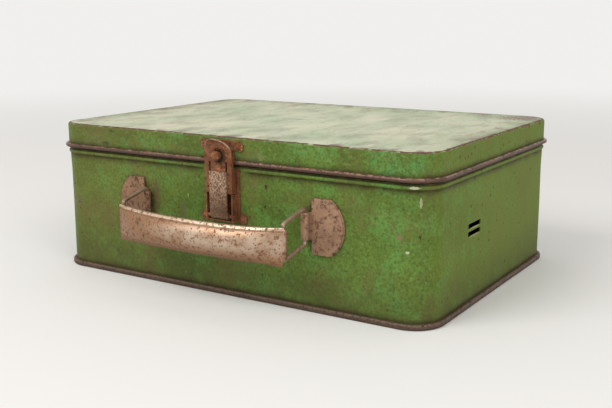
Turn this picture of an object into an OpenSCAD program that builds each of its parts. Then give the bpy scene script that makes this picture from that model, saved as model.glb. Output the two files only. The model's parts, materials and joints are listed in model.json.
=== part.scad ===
// Small tin trunk: a pressed steel box for papers with a lift-up lid,
// a snap hasp at the front and a swinging sheet-metal handle on two wire links.
// Millimetres, +Z up, front of the trunk towards -Y.

/* [Case] */
// Width of the lid, side to side
case_w = 254; // [200:1:320]
// Depth of the lid, front to back
case_d = 178.8; // [140:0.2:240]
// Height from the table to the lid's top
case_h = 89.8; // [86:0.2:130]
// Plan radius of the lid's corners
corner_r = 16.5; // [12:0.5:24]
// Thickness of the tinplate
sheet = 0.6; // [0.4:0.05:0.7]
// How far the body wall lies inside the lid skirt's outer plane
body_inset = 0.67; // [0.62:0.01:0.8]

/* [Lid] */
// Height of the lid from its lower edge to its top
skirt_h = 14.9; // [14.5:0.1:20]
// Outer radius of the lid's top edge
lid_edge_r = 1.5; // [1:0.1:2]
// Diameter of the rolled lower edge of the lid
roll_d = 2.6; // [2.2:0.1:3]
// How far the rolled edge stands out from the skirt
roll_proud = 2.1; // [1.6:0.1:2.2]
// Air between the lid skirt and the neck of the body
neck_gap = 0.85; // [0.8:0.05:1.2]
// How far the lid opens, in degrees
lid_open = 105; // [60:5:110]

/* [Body] */
// Height of the swaged bead's centre under the lid's lower edge
bead_drop = 2.5; // [2:0.1:4]
// Height of the swaged bead
bead_h = 2.8; // [2:0.1:3]
// How far the swaged bead stands out from the wall
bead_proud = 0.9; // [0.4:0.1:1]
// Depth of the hem folded in at the mouth of the body
mouth_hem_h = 4; // [2:0.5:6]
// Height of the seam round the base
seam_h = 3.3; // [2.5:0.1:5]
// How far the seam stands out from the body wall
seam_proud = 2.13; // [1.6:0.01:2.6]
// Height of the bottom panel over the table
panel_lift = 1.6; // [1:0.1:2.2]
// Length of the two slots in the right wall
slot_len = 16.9; // [8:0.1:30]
// Height of each slot
slot_h = 2.7; // [1.5:0.1:3.5]
// Distance between the slots' centre lines
slot_pitch = 4.3; // [4:0.1:8]
// Height of the middle of the pair of slots
slot_z = 42.5; // [20:0.5:60]
// How far in front of the middle of the wall the slots lie
slot_forward = 32.2; // [0:0.1:50]

/* [Handle] */
// How far right of the middle the handle and the latch are fitted
fittings_x = 1.9; // [-5:0.1:5]
// Distance between the two barrels that carry the wire links
barrel_span = 109.2; // [100:0.2:124]
// How far under the lid's lower edge the links' middle lies at the barrels
barrel_drop = 28; // [24:0.1:32]
// Distance of the barrels' axes from the body wall
barrel_off = 2.9; // [2.6:0.1:4]
// Length of a barrel
barrel_len = 14.6; // [8:0.2:15]
// Thickness of the metal rolled into barrels
barrel_wall = 0.95; // [0.6:0.05:1.1]
// Diameter of the links' wire
wire_d = 2.4; // [1.6:0.1:2.6]
// Radial clearance of the wire in its barrels
wire_gap = 0.06; // [0.02:0.01:0.1]
// Height of a link between its arms' centre lines
link_h = 19.6; // [18:0.2:24]
// Reach of a link from the barrel to the grip
link_reach = 17.8; // [15:0.2:24]
// How far a link drops towards the grip
link_drop = 5.6; // [0:0.2:8]
// Radius of the bends in a link, to the middle of the wire
link_bend = 1.8; // [1.5:0.1:1.8]
// Length of the grip's rolled ends
knuckle_len = 14.2; // [8:0.2:15]
// Swing of the handle in the photographed pose, in degrees
handle_swing = -6; // [-15:1:15]
// Height of a handle plate
plate_h = 30.1; // [26:0.1:36]
// Width of a handle plate
plate_w = 18.7; // [16:0.1:24]
// Radius of a handle plate's round end
plate_r = 17.5; // [16:0.1:22]
// How far the rear layer of a handle plate peeps out round its end
plate_peep = 0.6; // [0:0.1:1]
// Thickness of each layer of a handle plate
plate_t = 0.8; // [0.5:0.05:1]
// Gap between a barrel's axis and its plate's straight edge
plate_gap = 3.3; // [2.8:0.1:5]
// Height of the grip at its ends
grip_h = 20.7; // [18:0.1:26]
// Height of the grip in its middle
grip_mid_h = 18.3; // [14:0.1:20]
// How far the grip bows out in plan
grip_bow = 5.6; // [2:0.1:8]
// How far the grip's middle section is rounded outwards
grip_crown = 4; // [1:0.1:5]
// Thickness of the grip's metal
grip_t = 0.95; // [0.7:0.05:1.1]
// Thickness of the hems along the grip's edges
grip_hem = 2.2; // [1.6:0.1:2.6]

/* [Latch] */
// How far under the lid's lower edge the latch's pivot pin lies
pivot_drop = 28.7; // [24:0.1:31]
// Distance of the pivot pin from the lid skirt's plane
pivot_off = 2.7; // [2.5:0.1:3.5]
// Diameter of the pivot pin
pivot_d = 2.2; // [1.6:0.1:2.4]
// Radial clearance of the pivot pin in the strap
pivot_gap = 0.05; // [0.02:0.01:0.1]
// Width of the hasp over its cheeks
hasp_w = 18.6; // [16:0.1:22]
// Distance of the hasp's front from the lid skirt's plane
hasp_off = 4.4; // [4.2:0.1:6]
// Thickness of the hasp's metal
hasp_t = 0.9; // [0.6:0.05:1]
// How far under the lid's lower edge the hasp's cheeks end
hasp_split_drop = 15.7; // [13:0.1:19]
// Gap between the hasp's cheeks and the body plate's cheeks
split_gap = 0.5; // [0.4:0.1:1]
// Radius of the curl of the thumb lip
lip_curl_r = 9.3; // [8:0.1:11]
// Width of the strap
strap_w = 11.8; // [8:0.1:13]
// Thickness of the strap
strap_t = 0.7; // [0.5:0.05:0.9]
// How far under the lid's lower edge the strap ends
strap_top_drop = 3.7; // [3:0.1:6]
// Height of the knob, and of the catch behind it, over the lid's lower edge
knob_rise = 5; // [4.7:0.1:6]
// Diameter of the knob
knob_d = 5.9; // [4:0.1:6.4]
// Distance of the knob's middle from the lid skirt's plane
knob_off = 6.9; // [6.5:0.1:8]
// Radius of the hole round the knob
knob_hole_r = 3.7; // [3.3:0.1:4.2]
// Width of the slots beside the tongue
tongue_slot_w = 1.1; // [0.6:0.1:1.4]
// Width of the tongue
tongue_w = 10; // [8:0.1:11]
// Thickness of the leaf spring behind the hasp
leaf_t = 0.5; // [0.3:0.05:0.6]
// Width of the leaf spring
leaf_w = 8; // [5:0.1:9]
// Radius of the catch nose on the leaf spring
nose_r = 1.4; // [1:0.1:1.6]
// Radial room of the nose in the keeper's hole
nose_gap = 0.35; // [0.2:0.05:0.5]
// Half the distance between the body plate's rivets
body_ear_x = 12.8; // [12:0.1:15]
// How far under the lid's lower edge the body plate's rivets lie
body_ear_drop = 29.9; // [27:0.1:32]
// Half the distance between the keeper's rivets
keeper_ear_x = 11.6; // [11:0.1:14]
// How far under the lid's top the keeper's rivets lie
keeper_ear_drop = 4.7; // [4.6:0.1:5.8]
// Radius of the rivet ears
ear_r = 2.9; // [2.5:0.1:3.1]
// Thickness of the latch's flat plates
fitting_t = 0.8; // [0.5:0.05:0.9]

/* [Hinges] */
// Distance of each hinge from the middle of the back
hinge_x = 72; // [40:1:85]
// Width of a hinge
hinge_w = 28; // [20:1:36]
// Diameter of a hinge pin
hinge_pin_d = 2.2; // [1.6:0.1:2.4]
// Radial clearance of a hinge pin
hinge_gap = 0.05; // [0.02:0.01:0.1]
// Thickness of the hinges' metal
hinge_t = 0.8; // [0.6:0.05:0.9]
// Length of a hinge's body leaf under the pin
hinge_leaf_h = 17; // [12:0.5:24]

/* [Rivets] */
// Shank diameter of the rivets
rivet_d = 2.4; // [1.6:0.1:2.8]
// Head diameter of the rivets
rivet_head_d = 4; // [3.4:0.1:4.6]
// Height of the rivets' round heads
rivet_head_h = 1; // [0.6:0.1:1.3]
// Radial room of a rivet in its holes
rivet_gap = 0.02; // [0:0.01:0.05]

/* [Hidden] */
$fn = 64;

paint = "#5c7a3c";
bare = "#8b7262";
rust = "#7a4c32";
nickel = "#b0a294";
dull = "#a08a78";

// A hair that keeps cuts from ending on a face
eps = 0.02;
// Lower edge of the lid, and the neck's height inside it
lid_z = case_h - skirt_h;
lid_rest_gap = 0.1;
neck_top_z = case_h - sheet - lid_rest_gap;
shoulder_h = 0.7;
shoulder_z = lid_z - shoulder_h;
neck_in = sheet + neck_gap;
// Heights that keep their place under the lid's lower edge
barrel_z = lid_z - barrel_drop;
pivot_z = lid_z - pivot_drop;
hasp_split_z = lid_z - hasp_split_drop;
strap_top_z = lid_z - strap_top_drop;
knob_z = lid_z + knob_rise;
body_ear_z = lid_z - body_ear_drop;
keeper_ear_z = case_h - keeper_ear_drop;
seam_slot_z = 0.9;
seam_play = 0.02;
seam_round = 1;
seam_in = body_inset + 2 * sheet + seam_play;
bead_z = lid_z - bead_drop;
bead_break = 30;
bead_r = ((bead_h / 2) * (bead_h / 2) + bead_proud * bead_proud) / (2 * bead_proud);
roll_wire_r = roll_d / 2 - sheet;
// Places on the front, measured outwards from the lid skirt's plane
wall_off = -body_inset;
barrel_y = wall_off + barrel_off;
barrel_r = wire_d / 2 + wire_gap + barrel_wall;
leg_off = barrel_y + link_reach * cos(handle_swing);
leg_shift = link_reach * sin(handle_swing);
link_low_z = barrel_z - link_drop;
knuckle_r = wire_d / 2 + wire_gap + grip_t;
grip_half = barrel_span / 2 + knuckle_r;
grip_face_off = leg_off + knuckle_r;
grip_z = link_low_z - 1.9;
grip_front = grip_face_off + grip_bow + grip_crown;
// Hinge axis, measured outwards from the lid skirt's plane at the back
hinge_r = hinge_pin_d / 2 + hinge_gap + hinge_t;
hinge_seat_gap = 0.07;
hinge_off = hinge_r + hinge_seat_gap - body_inset;
hinge_roll_gap = 0.35;
hinge_z = lid_z - hinge_roll_gap - hinge_r;
knuckle_gap = 0.3;
// A tail on the lid's knuckles meets the body leaf when the lid is open
stop_reach = hinge_r + 1.1;
stop_ease = 1.2;
stop_touch = acos((wall_off + hinge_t - hinge_off) / stop_reach);
stop_angle = lid_open - stop_touch + stop_ease;
hinge_back = hinge_off + stop_reach * cos(stop_angle) - hinge_t * sin(stop_angle);
// The model's origin lies under the middle of everything, so the case sits a little behind it
case_y = (grip_front - hinge_back) / 2;

// Keeper's raised pocket and the leaf spring
keeper_z = lid_z + roll_d + 0.15;
keeper_rise = 1.5;
keeper_front = fitting_t + keeper_rise;
keeper_pocket_w = 14;
keeper_top_z = case_h - lid_edge_r;
hasp_back = hasp_off - hasp_t;
leaf_back = hasp_back - leaf_t;
cheek_back_low = 0.9;
cheek_back_high = 2.9;
tongue_z = strap_top_z - 0.7;
tongue_top_z = knob_z - knob_hole_r + 0.4;
lip_z = knob_z + 0.9;
lip_disc_r = hasp_w / 2;
strap_knuckle_r = pivot_d / 2 + pivot_gap + strap_t;

// Everything is drawn about the case's own middle and then moved into the frame
module placed() { translate([0, case_y, 0]) children(); }

// Turns a drawing of (side, height) extruded forwards into a solid on the front:
// it starts "off" millimetres in front of the lid skirt's plane and is "t" thick
module on_front(off, t, x = fittings_x) {
  translate([x, -case_d / 2 - off, 0]) rotate([90, 0, 0]) linear_extrude(t) children();
}

// The same on the back of the case
module on_back(off, t, x = 0) {
  translate([x, case_d / 2 + off + t, 0]) rotate([90, 0, 0]) linear_extrude(t) children();
}

// Turns a section drawn as (distance in front of the lid skirt, height) into a bar along X
module front_bar(x0, x1) {
  translate([x0, -case_d / 2, 0]) rotate([90, 0, -90]) mirror([0, 0, 1])
    linear_extrude(x1 - x0) children();
}

module back_bar(x0, x1) {
  translate([x0, case_d / 2, 0]) rotate([90, 0, 90]) linear_extrude(x1 - x0) children();
}

// The case's plan outline, moved in or out from the lid skirt's outer plane
module plan(out) {
  w = case_w + 2 * out;
  d = case_d + 2 * out;
  r = corner_r + out;
  square([w - 2 * r, d], center = true);
  square([w, d - 2 * r], center = true);
  for (x = [-1, 1], y = [-1, 1])
    translate([x * (w / 2 - r), y * (d / 2 - r)]) circle(r);
}

// Carries a section drawn as (distance outside the lid skirt, height) round the case
module around() {
  run_x = case_w / 2 - corner_r;
  run_y = case_d / 2 - corner_r;
  for (side = [0, 180]) rotate(side) {
    translate([-run_x, -case_d / 2, 0]) rotate([90, 0, 90]) mirror([1, 0, 0])
      linear_extrude(2 * run_x) children();
    translate([case_w / 2, -run_y, 0]) rotate([90, 0, 180]) mirror([1, 0, 0])
      linear_extrude(2 * run_y) children();
    translate([run_x, -run_y, 0]) rotate(-90) rotate_extrude(angle = 90, $fn = 96)
      translate([corner_r, 0]) children();
    translate([-run_x, -run_y, 0]) rotate(180) rotate_extrude(angle = 90, $fn = 96)
      translate([corner_r, 0]) children();
  }
}

// Section of the swaged bead; the inner one is a sheet's thickness smaller
module bead_section(r) {
  intersection() {
    translate([wall_off + bead_proud - bead_r, bead_z]) circle(r);
    translate([wall_off - sheet - eps, bead_z - bead_h]) square([bead_h, 2 * bead_h]);
  }
}

// The bead stops on both sides of the latch and of the hinges
module bead_breaks() {
  on_front(wall_off - sheet - 1, bead_h + 2) translate([-bead_break / 2, bead_z - bead_h])
    square([bead_break, 2 * bead_h]);
  for (side = [-1, 1])
    on_back(wall_off - sheet - 1, bead_h + 2, side * hinge_x)
      translate([-hinge_w / 2 - 1, bead_z - bead_h]) square([hinge_w + 2, 2 * bead_h]);
}

module bead(r) {
  difference() {
    around() bead_section(r);
    bead_breaks();
  }
}

module wall_section() {
  polygon([
    [wall_off, seam_slot_z],
    [wall_off, shoulder_z],
    [-neck_in, lid_z - 0.1],
    [-neck_in, neck_top_z],
    [-neck_in - 2 * sheet, neck_top_z],
    [-neck_in - 2 * sheet, neck_top_z - mouth_hem_h],
    [-neck_in - sheet, neck_top_z - mouth_hem_h],
    [-neck_in - sheet, lid_z - 0.1],
    [wall_off - sheet, shoulder_z],
    [wall_off - sheet, seam_slot_z]
  ]);
}

module body_rivet_holes() {
  r = rivet_d / 2 + rivet_gap;
  on_front(wall_off - 2, 3) for (s = [-1, 1]) translate([s * body_ear_x, body_ear_z]) circle(r);
  for (side = [-1, 1])
    on_back(wall_off - 2, 3, side * hinge_x) hinge_rivet_places(body_leaf_rivet_z) circle(r);
}

module body_wall() {
  color(paint) placed() difference() {
    union() {
      around() wall_section();
      bead(bead_r);
    }
    bead(bead_r - sheet);
    body_rivet_holes();
    for (s = [-0.5, 0.5])
      translate([case_w / 2 - 4, -slot_forward - slot_len / 2, slot_z + s * slot_pitch - slot_h / 2])
        cube([8, slot_len, slot_h]);
  }
}

// The seam folds over the lower edge of the wall; the bottom panel is raised inside it
module seam_section() {
  out = wall_off + seam_proud;
  difference() {
    union() {
      translate([-seam_in - sheet, 0]) square([seam_in + sheet + out - seam_round, seam_h]);
      translate([-seam_in, seam_round]) square([seam_in + out, seam_h - 2 * seam_round]);
      for (z = [seam_round, seam_h - seam_round])
        translate([out - seam_round, z]) circle(seam_round);
    }
    translate([wall_off - sheet - seam_play, seam_slot_z])
      square([sheet + 2 * seam_play, seam_h]);
  }
}

module base_pan() {
  color(bare) placed() {
    around() seam_section();
    translate([0, 0, panel_lift]) linear_extrude(sheet) plan(-seam_in - sheet / 2);
  }
}

module lid_section() {
  difference() {
    union() {
      translate([-sheet, lid_z + roll_d / 2])
        square([sheet, skirt_h - lid_edge_r - roll_d / 2]);
      translate([-corner_r / 2, case_h - sheet]) square([corner_r / 2 - lid_edge_r, sheet]);
      translate([-lid_edge_r, case_h - lid_edge_r]) intersection() {
        difference() {
          circle(lid_edge_r);
          circle(lid_edge_r - sheet);
        }
        square(lid_edge_r);
      }
      translate([roll_proud - roll_d / 2, lid_z + roll_d / 2]) circle(roll_d / 2);
    }
    translate([roll_proud - roll_d / 2, lid_z + roll_d / 2]) circle(roll_wire_r);
  }
}

module lid_rivet_holes() {
  r = rivet_d / 2 + rivet_gap;
  on_front(-2, 3) for (s = [-1, 1]) translate([s * keeper_ear_x, keeper_ear_z]) circle(r);
  for (side = [-1, 1])
    on_back(-2, 3, side * hinge_x) hinge_rivet_places(lid_leaf_rivet_z) circle(r);
}

module lid_shell() {
  color(paint) placed() difference() {
    union() {
      around() lid_section();
      translate([0, 0, case_h - sheet]) linear_extrude(sheet) plan(-corner_r / 4);
    }
    lid_rivet_holes();
  }
}

module lid_rim_wire() {
  color(bare) placed() around()
    translate([roll_proud - roll_d / 2, lid_z + roll_d / 2]) circle(roll_wire_r - seam_play);
}

// Handle plate: two flat layers and a barrel rolled round the wire; side is -1 or 1
module plate_outline(r) {
  centre_x = plate_w - plate_r;
  intersection() {
    translate([0, -plate_h / 2]) square([plate_w + 2, plate_h]);
    translate([centre_x, 0]) circle(r, $fn = 96);
  }
}

module handle_plate() {
  x = barrel_span / 2;
  on_front(wall_off, plate_t, 0) translate([x + plate_gap, barrel_z]) plate_outline(plate_r + plate_peep);
  on_front(wall_off + plate_t, plate_t, 0) translate([x + plate_gap, barrel_z]) plate_outline(plate_r);
  translate([x, -case_d / 2 - barrel_y, barrel_z - barrel_len / 2]) difference() {
    union() {
      cylinder(h = barrel_len, r = barrel_r);
      linear_extrude(barrel_len) polygon([
        [0, barrel_r],
        [plate_gap + 1, barrel_off],
        [plate_gap + 1, barrel_off - plate_t],
        [0, barrel_r - plate_t]
      ]);
    }
    translate([0, 0, -1]) cylinder(h = barrel_len + 2, r = wire_d / 2 + wire_gap);
  }
}

module left_handle_plate() {
  color(dull) placed() translate([fittings_x, 0, 0]) mirror([1, 0, 0]) handle_plate();
}

module right_handle_plate() {
  color(dull) placed() translate([fittings_x, 0, 0]) handle_plate();
}

// Wire link, drawn in the plane of (reach, height) from the middle of its leg in the barrel.
// The wire is swept round its corners, and each leg has a true cylinder where a bearing holds it.
link_corners = [
  [0, link_h / 2],
  [0, -link_h / 2],
  [link_reach, -link_drop - link_h / 2],
  [link_reach, -link_drop + link_h / 2]
];
bend_steps = 5;
wire_sides = 16;
wire_slim = 0.03;
function heading(a) = [cos(a), sin(a)];
function side_angle(i) =
  let (step = link_corners[(i + 1) % 4] - link_corners[i % 4]) atan2(step[1], step[0]);
function link_ring(i, k) =
  let (
    before = side_angle(i + 3),
    turn = (side_angle(i) - before + 720) % 360,
    start = link_corners[i] - link_bend * tan(turn / 2) * heading(before),
    out = before - 90 + turn * k / bend_steps,
    p = start + link_bend * (heading(before + 90) + heading(out))
  )
    [for (t = [0:wire_sides - 1]) let (r = wire_d / 2 - wire_slim, a = 360 * t / wire_sides)
      [p[0] + r * cos(a) * cos(out), p[1] + r * cos(a) * sin(out), r * sin(a)]];

module wire_link() {
  rings = [for (i = [0:3], k = [0:bend_steps]) link_ring(i, k)];
  n = wire_sides;
  count = len(rings);
  walls = [
    for (s = [0:count - 1], i = [0:n - 1], half = [0, 1])
      let (a = s * n, b = ((s + 1) % count) * n, j = (i + 1) % n)
        half == 0 ? [a + i, a + j, b + i] : [a + j, b + j, b + i]
  ];
  polyhedron([for (ring = rings) each ring], walls, convexity = 6);
  rotate([90, 0, 0]) cylinder(h = barrel_len, d = wire_d, center = true);
  translate([link_reach, -link_drop]) rotate([90, 0, 0])
    cylinder(h = knuckle_len, d = wire_d, center = true);
}

module link_at(side) {
  color(dull) placed()
    translate([fittings_x + side * barrel_span / 2, -case_d / 2 - barrel_y, barrel_z])
      rotate([0, 0, handle_swing - 90]) rotate([90, 0, 0]) wire_link();
}

module left_link() { link_at(-1); }
module right_link() { link_at(1); }

// Grip: a sheet bowed in plan, flat at its ends and rounded in its middle, hemmed along both edges.
// Stations run along X from -1 to 1, and points up the section run from -1 to 1.
grip_stations = 28;
grip_rows = 12;
function swell(u) = 1 - pow(abs(u), 4);
function bow(u) = grip_bow * (1 - u * u);
function half_height(u) = (grip_h + (grip_mid_h - grip_h) * swell(u)) / 2;
function crown(u, v) = grip_crown * swell(u) * (1 - v * v);
function thick(v) = abs(v) > 0.8 ? grip_hem : grip_t;
function grip_point(u, v, depth) =
  [u * (grip_half - 1.2), -(bow(u) + crown(u, v) - depth), v * half_height(u)];
function row_value(i) = let (v = -1 + 2 * i / grip_rows) abs(v) > 0.7 && abs(v) < 0.9 ? sign(v) * 0.79 : v;
function grip_loop(u) = concat(
  [for (i = [0:grip_rows]) grip_point(u, row_value(i), 0)],
  [for (i = [grip_rows:-1:0]) let (v = row_value(i)) grip_point(u, v, thick(v))]
);

module grip_sheet() {
  n = 2 * (grip_rows + 1);
  points = [for (s = [0:grip_stations]) each grip_loop(-1 + 2 * s / grip_stations)];
  walls = [
    for (s = [0:grip_stations - 1], i = [0:n - 1], half = [0, 1])
      let (a = s * n + i, b = s * n + (i + 1) % n)
        half == 0 ? [a, b, a + n] : [b, b + n, a + n]
  ];
  last = grip_stations * n;
  ends = [
    for (i = [0:grip_rows - 1], half = [0, 1], far = [0, 1])
      let (
        a = i,
        b = i + 1,
        c = n - 2 - i,
        d = n - 1 - i,
        t = half == 0 ? [a, d, b] : [b, d, c],
        o = far * last
      )
        far == 0 ? [t[0] + o, t[1] + o, t[2] + o] : [t[0] + o, t[2] + o, t[1] + o]
  ];
  polyhedron(points, concat(walls, ends), convexity = 6);
}

// Rolled end of the grip, round the outer leg of a link
module grip_knuckle() {
  z0 = link_low_z - grip_z - knuckle_len / 2;
  translate([barrel_span / 2, knuckle_r, z0]) cylinder(h = knuckle_len, r = knuckle_r);
}

module grip_knuckle_bore() {
  translate([barrel_span / 2, knuckle_r, -grip_h])
    cylinder(h = 2 * grip_h, r = wire_d / 2 + wire_gap);
}

module grip_end_sheet() {
  translate([grip_half - knuckle_r - 3.2, 0, -grip_h / 2]) cube([3.2, grip_t, grip_h]);
}

module handle_grip() {
  color(nickel) placed()
    translate([fittings_x + leg_shift, -case_d / 2 - grip_face_off, grip_z])
      difference() {
        union() {
          grip_sheet();
          for (side = [0, 1]) mirror([side, 0, 0]) {
            grip_knuckle();
            grip_end_sheet();
          }
        }
        for (side = [0, 1]) mirror([side, 0, 0]) grip_knuckle_bore();
      }
}

// Round-headed rivet along Y: the head's seat lies at y = 0 and the shank goes towards +Y.
// Its tail is a flat disc inside the wall, or is clinched flush where there is no room for one.
module rivet(length, tail) {
  ball = (rivet_head_d * rivet_head_d / 4 + rivet_head_h * rivet_head_h) / (2 * rivet_head_h);
  rotate([90, 0, 0]) intersection() {
    translate([0, 0, rivet_head_h - ball]) sphere(ball);
    cylinder(h = rivet_head_h + 1, d = rivet_head_d);
  }
  rotate([-90, 0, 0]) {
    cylinder(h = length + tail, d = rivet_d);
    if (tail > 0) translate([0, 0, length]) cylinder(h = tail, d = rivet_head_d - 0.6);
  }
}

// Latch on the body: plate with ears, two cheeks that carry the pivot pin, and a lip below
module latch_body_plate() {
  cheek_front = hasp_off - 0.1;
  cheek_out = hasp_w / 2;
  low_z = pivot_z - 3.2;
  color(rust) placed() difference() {
    union() {
      on_front(wall_off, fitting_t) difference() {
        union() {
          translate([-cheek_out - 1.8, low_z + 0.2])
            square([2 * cheek_out + 3.6, bead_z + bead_h / 2 - 1.4 - low_z]);
          for (s = [-1, 1]) translate([s * body_ear_x, body_ear_z]) circle(ear_r);
        }
        for (s = [-1, 1])
          translate([s * body_ear_x, body_ear_z]) circle(rivet_d / 2 + rivet_gap);
      }
      for (s = [-1, 1])
        front_bar(fittings_x + s * (cheek_out - hasp_t / 2) - hasp_t / 2,
          fittings_x + s * (cheek_out - hasp_t / 2) + hasp_t / 2)
          polygon([
            [wall_off + eps, low_z],
            [cheek_front, low_z],
            [cheek_front, hasp_split_z - split_gap],
            [wall_off + eps, hasp_split_z - split_gap]
          ]);
      front_bar(fittings_x - cheek_out + hasp_t - eps, fittings_x + cheek_out - hasp_t + eps)
        translate([wall_off + eps, low_z]) square([cheek_front - 1.4 - wall_off, fitting_t]);
    }
    translate([fittings_x - hasp_w, -case_d / 2 - pivot_off, pivot_z]) rotate([0, 90, 0])
      cylinder(h = 2 * hasp_w, r = pivot_d / 2 + rivet_gap);
  }
}

module latch_body_rivets() {
  color(rust) placed() for (s = [-1, 1])
    translate([fittings_x + s * body_ear_x, -case_d / 2 - wall_off - fitting_t, body_ear_z])
      rivet(fitting_t + sheet, rivet_tail);
}

module latch_pivot_pin() {
  over = 0.6;
  reach = hasp_w / 2 + seam_play;
  color(rust) placed() translate([fittings_x, -case_d / 2 - pivot_off, pivot_z]) rotate([0, 90, 0]) {
    cylinder(h = 2 * reach, d = pivot_d, center = true);
    for (s = [-1, 1])
      translate([0, 0, s * (reach + over / 2)]) cylinder(h = over, d = pivot_d + 0.9, center = true);
  }
}

// Thumb lip: the sheet curls outwards over the knob, cut to a round outline
module thumb_lip() {
  intersection() {
    translate([fittings_x - hasp_w, -case_d / 2 - hasp_off - lip_curl_r, lip_z]) rotate([0, 90, 0])
      difference() {
        cylinder(h = 2 * hasp_w, r = lip_curl_r + hasp_t, $fn = 96);
        translate([0, 0, -1]) cylinder(h = 2 * hasp_w + 2, r = lip_curl_r, $fn = 96);
      }
    on_front(hasp_back - 1, lip_curl_r) intersection() {
      translate([0, lip_z - 0.5]) circle(lip_disc_r);
      translate([-hasp_w, lip_z - eps]) square([2 * hasp_w, hasp_w]);
    }
  }
}

module hasp_lever() {
  half = hasp_w / 2;
  color(rust) placed() {
    difference() {
      union() {
        on_front(hasp_back, hasp_t)
          translate([-half, hasp_split_z]) square([hasp_w, lip_z - hasp_split_z + eps]);
        thumb_lip();
      }
      on_front(hasp_back - 1, hasp_t + 2) {
        translate([0, knob_z]) circle(knob_hole_r);
        for (s = [-1, 1])
          translate([s * (tongue_w + tongue_slot_w) / 2 - tongue_slot_w / 2, tongue_z])
            square([tongue_slot_w, tongue_top_z - tongue_z]);
      }
    }
    for (s = [-1, 1])
      front_bar(fittings_x + s * (half - hasp_t / 2) - hasp_t / 2,
        fittings_x + s * (half - hasp_t / 2) + hasp_t / 2)
        polygon([
          [hasp_off, hasp_split_z],
          [hasp_off, lip_z + 0.6],
          [cheek_back_high, lip_z - 2.5],
          [cheek_back_high, lid_z - 0.9],
          [cheek_back_low, lid_z - 2.4],
          [cheek_back_low, hasp_split_z]
        ]);
  }
}

// Strap: a flat tongue of bright metal that is rolled round the pivot pin and carries the hasp
module hasp_strap() {
  bend_z = pivot_z + 3.4;
  color(nickel) placed() {
    on_front(hasp_off, strap_t) translate([-strap_w / 2, bend_z - eps])
      square([strap_w, strap_top_z - bend_z]);
    difference() {
      union() {
        front_bar(fittings_x - strap_w / 2, fittings_x + strap_w / 2) {
          translate([pivot_off, pivot_z]) circle(strap_knuckle_r);
          polygon([
            [pivot_off + strap_knuckle_r, pivot_z],
            [hasp_off + strap_t, bend_z],
            [hasp_off, bend_z],
            [pivot_off + strap_knuckle_r - strap_t, pivot_z]
          ]);
        }
      }
      translate([fittings_x - hasp_w, -case_d / 2 - pivot_off, pivot_z]) rotate([0, 90, 0])
        cylinder(h = 2 * hasp_w, r = pivot_d / 2 + pivot_gap);
    }
  }
}

// Leaf spring behind the hasp, with a pressed nose that snaps into the keeper
module hasp_spring() {
  leaf_z = hasp_split_z + 1.5;
  nose_in = leaf_back - keeper_front + 0.8;
  color(nickel) placed() {
    on_front(leaf_back, leaf_t) translate([-leaf_w / 2, leaf_z])
      square([leaf_w, knob_z + nose_r + 1.2 - leaf_z]);
    translate([fittings_x, -case_d / 2 - leaf_back, knob_z]) rotate([-90, 0, 0]) {
      cylinder(h = nose_in - nose_r / 2, r = nose_r);
      translate([0, 0, nose_in - nose_r / 2]) intersection() {
        scale_ball = nose_r * 1.25;
        translate([0, 0, -nose_r * 0.75]) sphere(scale_ball);
        cylinder(h = nose_r, r = nose_r);
      }
    }
  }
}

module hasp_knob() {
  neck_r = knob_d * 0.3;
  color(rust) placed() translate([fittings_x, -case_d / 2 - hasp_back, knob_z]) rotate([90, 0, 0]) {
    cylinder(h = knob_off - hasp_back, r = neck_r);
    translate([0, 0, knob_off - hasp_back]) sphere(d = knob_d);
  }
}

module keeper_plate() {
  half = keeper_pocket_w / 2;
  color(rust) placed() difference() {
    union() {
      on_front(0, fitting_t) {
        translate([-keeper_ear_x, keeper_ear_z - 2]) square([2 * keeper_ear_x, keeper_top_z - keeper_ear_z + 1.9]);
        translate([-half - 1, keeper_z]) square([2 * half + 2, keeper_ear_z - keeper_z]);
        for (s = [-1, 1]) translate([s * keeper_ear_x, keeper_ear_z]) circle(ear_r);
      }
      on_front(fitting_t - eps, keeper_rise + eps) translate([-half, keeper_z])
        square([keeper_pocket_w, knob_z + 3.4 - keeper_z]);
    }
    on_front(-1, keeper_front - fitting_t + 1) translate([-half + fitting_t, keeper_z + fitting_t / 2])
      square([keeper_pocket_w - 2 * fitting_t, knob_z + 3.4 - keeper_z - fitting_t]);
    on_front(-1, keeper_front + 2) {
      translate([0, knob_z]) circle(nose_r + nose_gap);
      for (s = [-1, 1]) translate([s * keeper_ear_x, keeper_ear_z]) circle(rivet_d / 2 + rivet_gap);
    }
  }
}

module keeper_rivets() {
  color(rust) placed() for (s = [-1, 1])
    translate([fittings_x + s * keeper_ear_x, -case_d / 2 - fitting_t, keeper_ear_z])
      rivet(fitting_t + sheet, 0);
}

// Hinges: the body leaf has the middle knuckle, the lid leaf has the outer two
lid_leaf_foot_z = lid_z + roll_d + 0.5;
lid_leaf_rivet_z = (lid_leaf_foot_z + case_h - lid_edge_r) / 2 + 0.3;
mid_knuckle = hinge_w * 0.44;
body_leaf_rivet_z = hinge_z - hinge_leaf_h + 5;
rivet_share = 0.3;
rivet_tail = 0.6;

module hinge_rivet_places(z) {
  for (s = [-1, 1]) translate([s * hinge_w * rivet_share, z]) children();
}

module hinge_knuckle(x0, x1) {
  back_bar(x0, x1) translate([hinge_off, hinge_z]) circle(hinge_r);
}

module hinge_bore(x) {
  translate([x - hinge_w, case_d / 2 + hinge_off, hinge_z]) rotate([0, 90, 0])
    cylinder(h = 2 * hinge_w, r = hinge_pin_d / 2 + hinge_gap);
}

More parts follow.
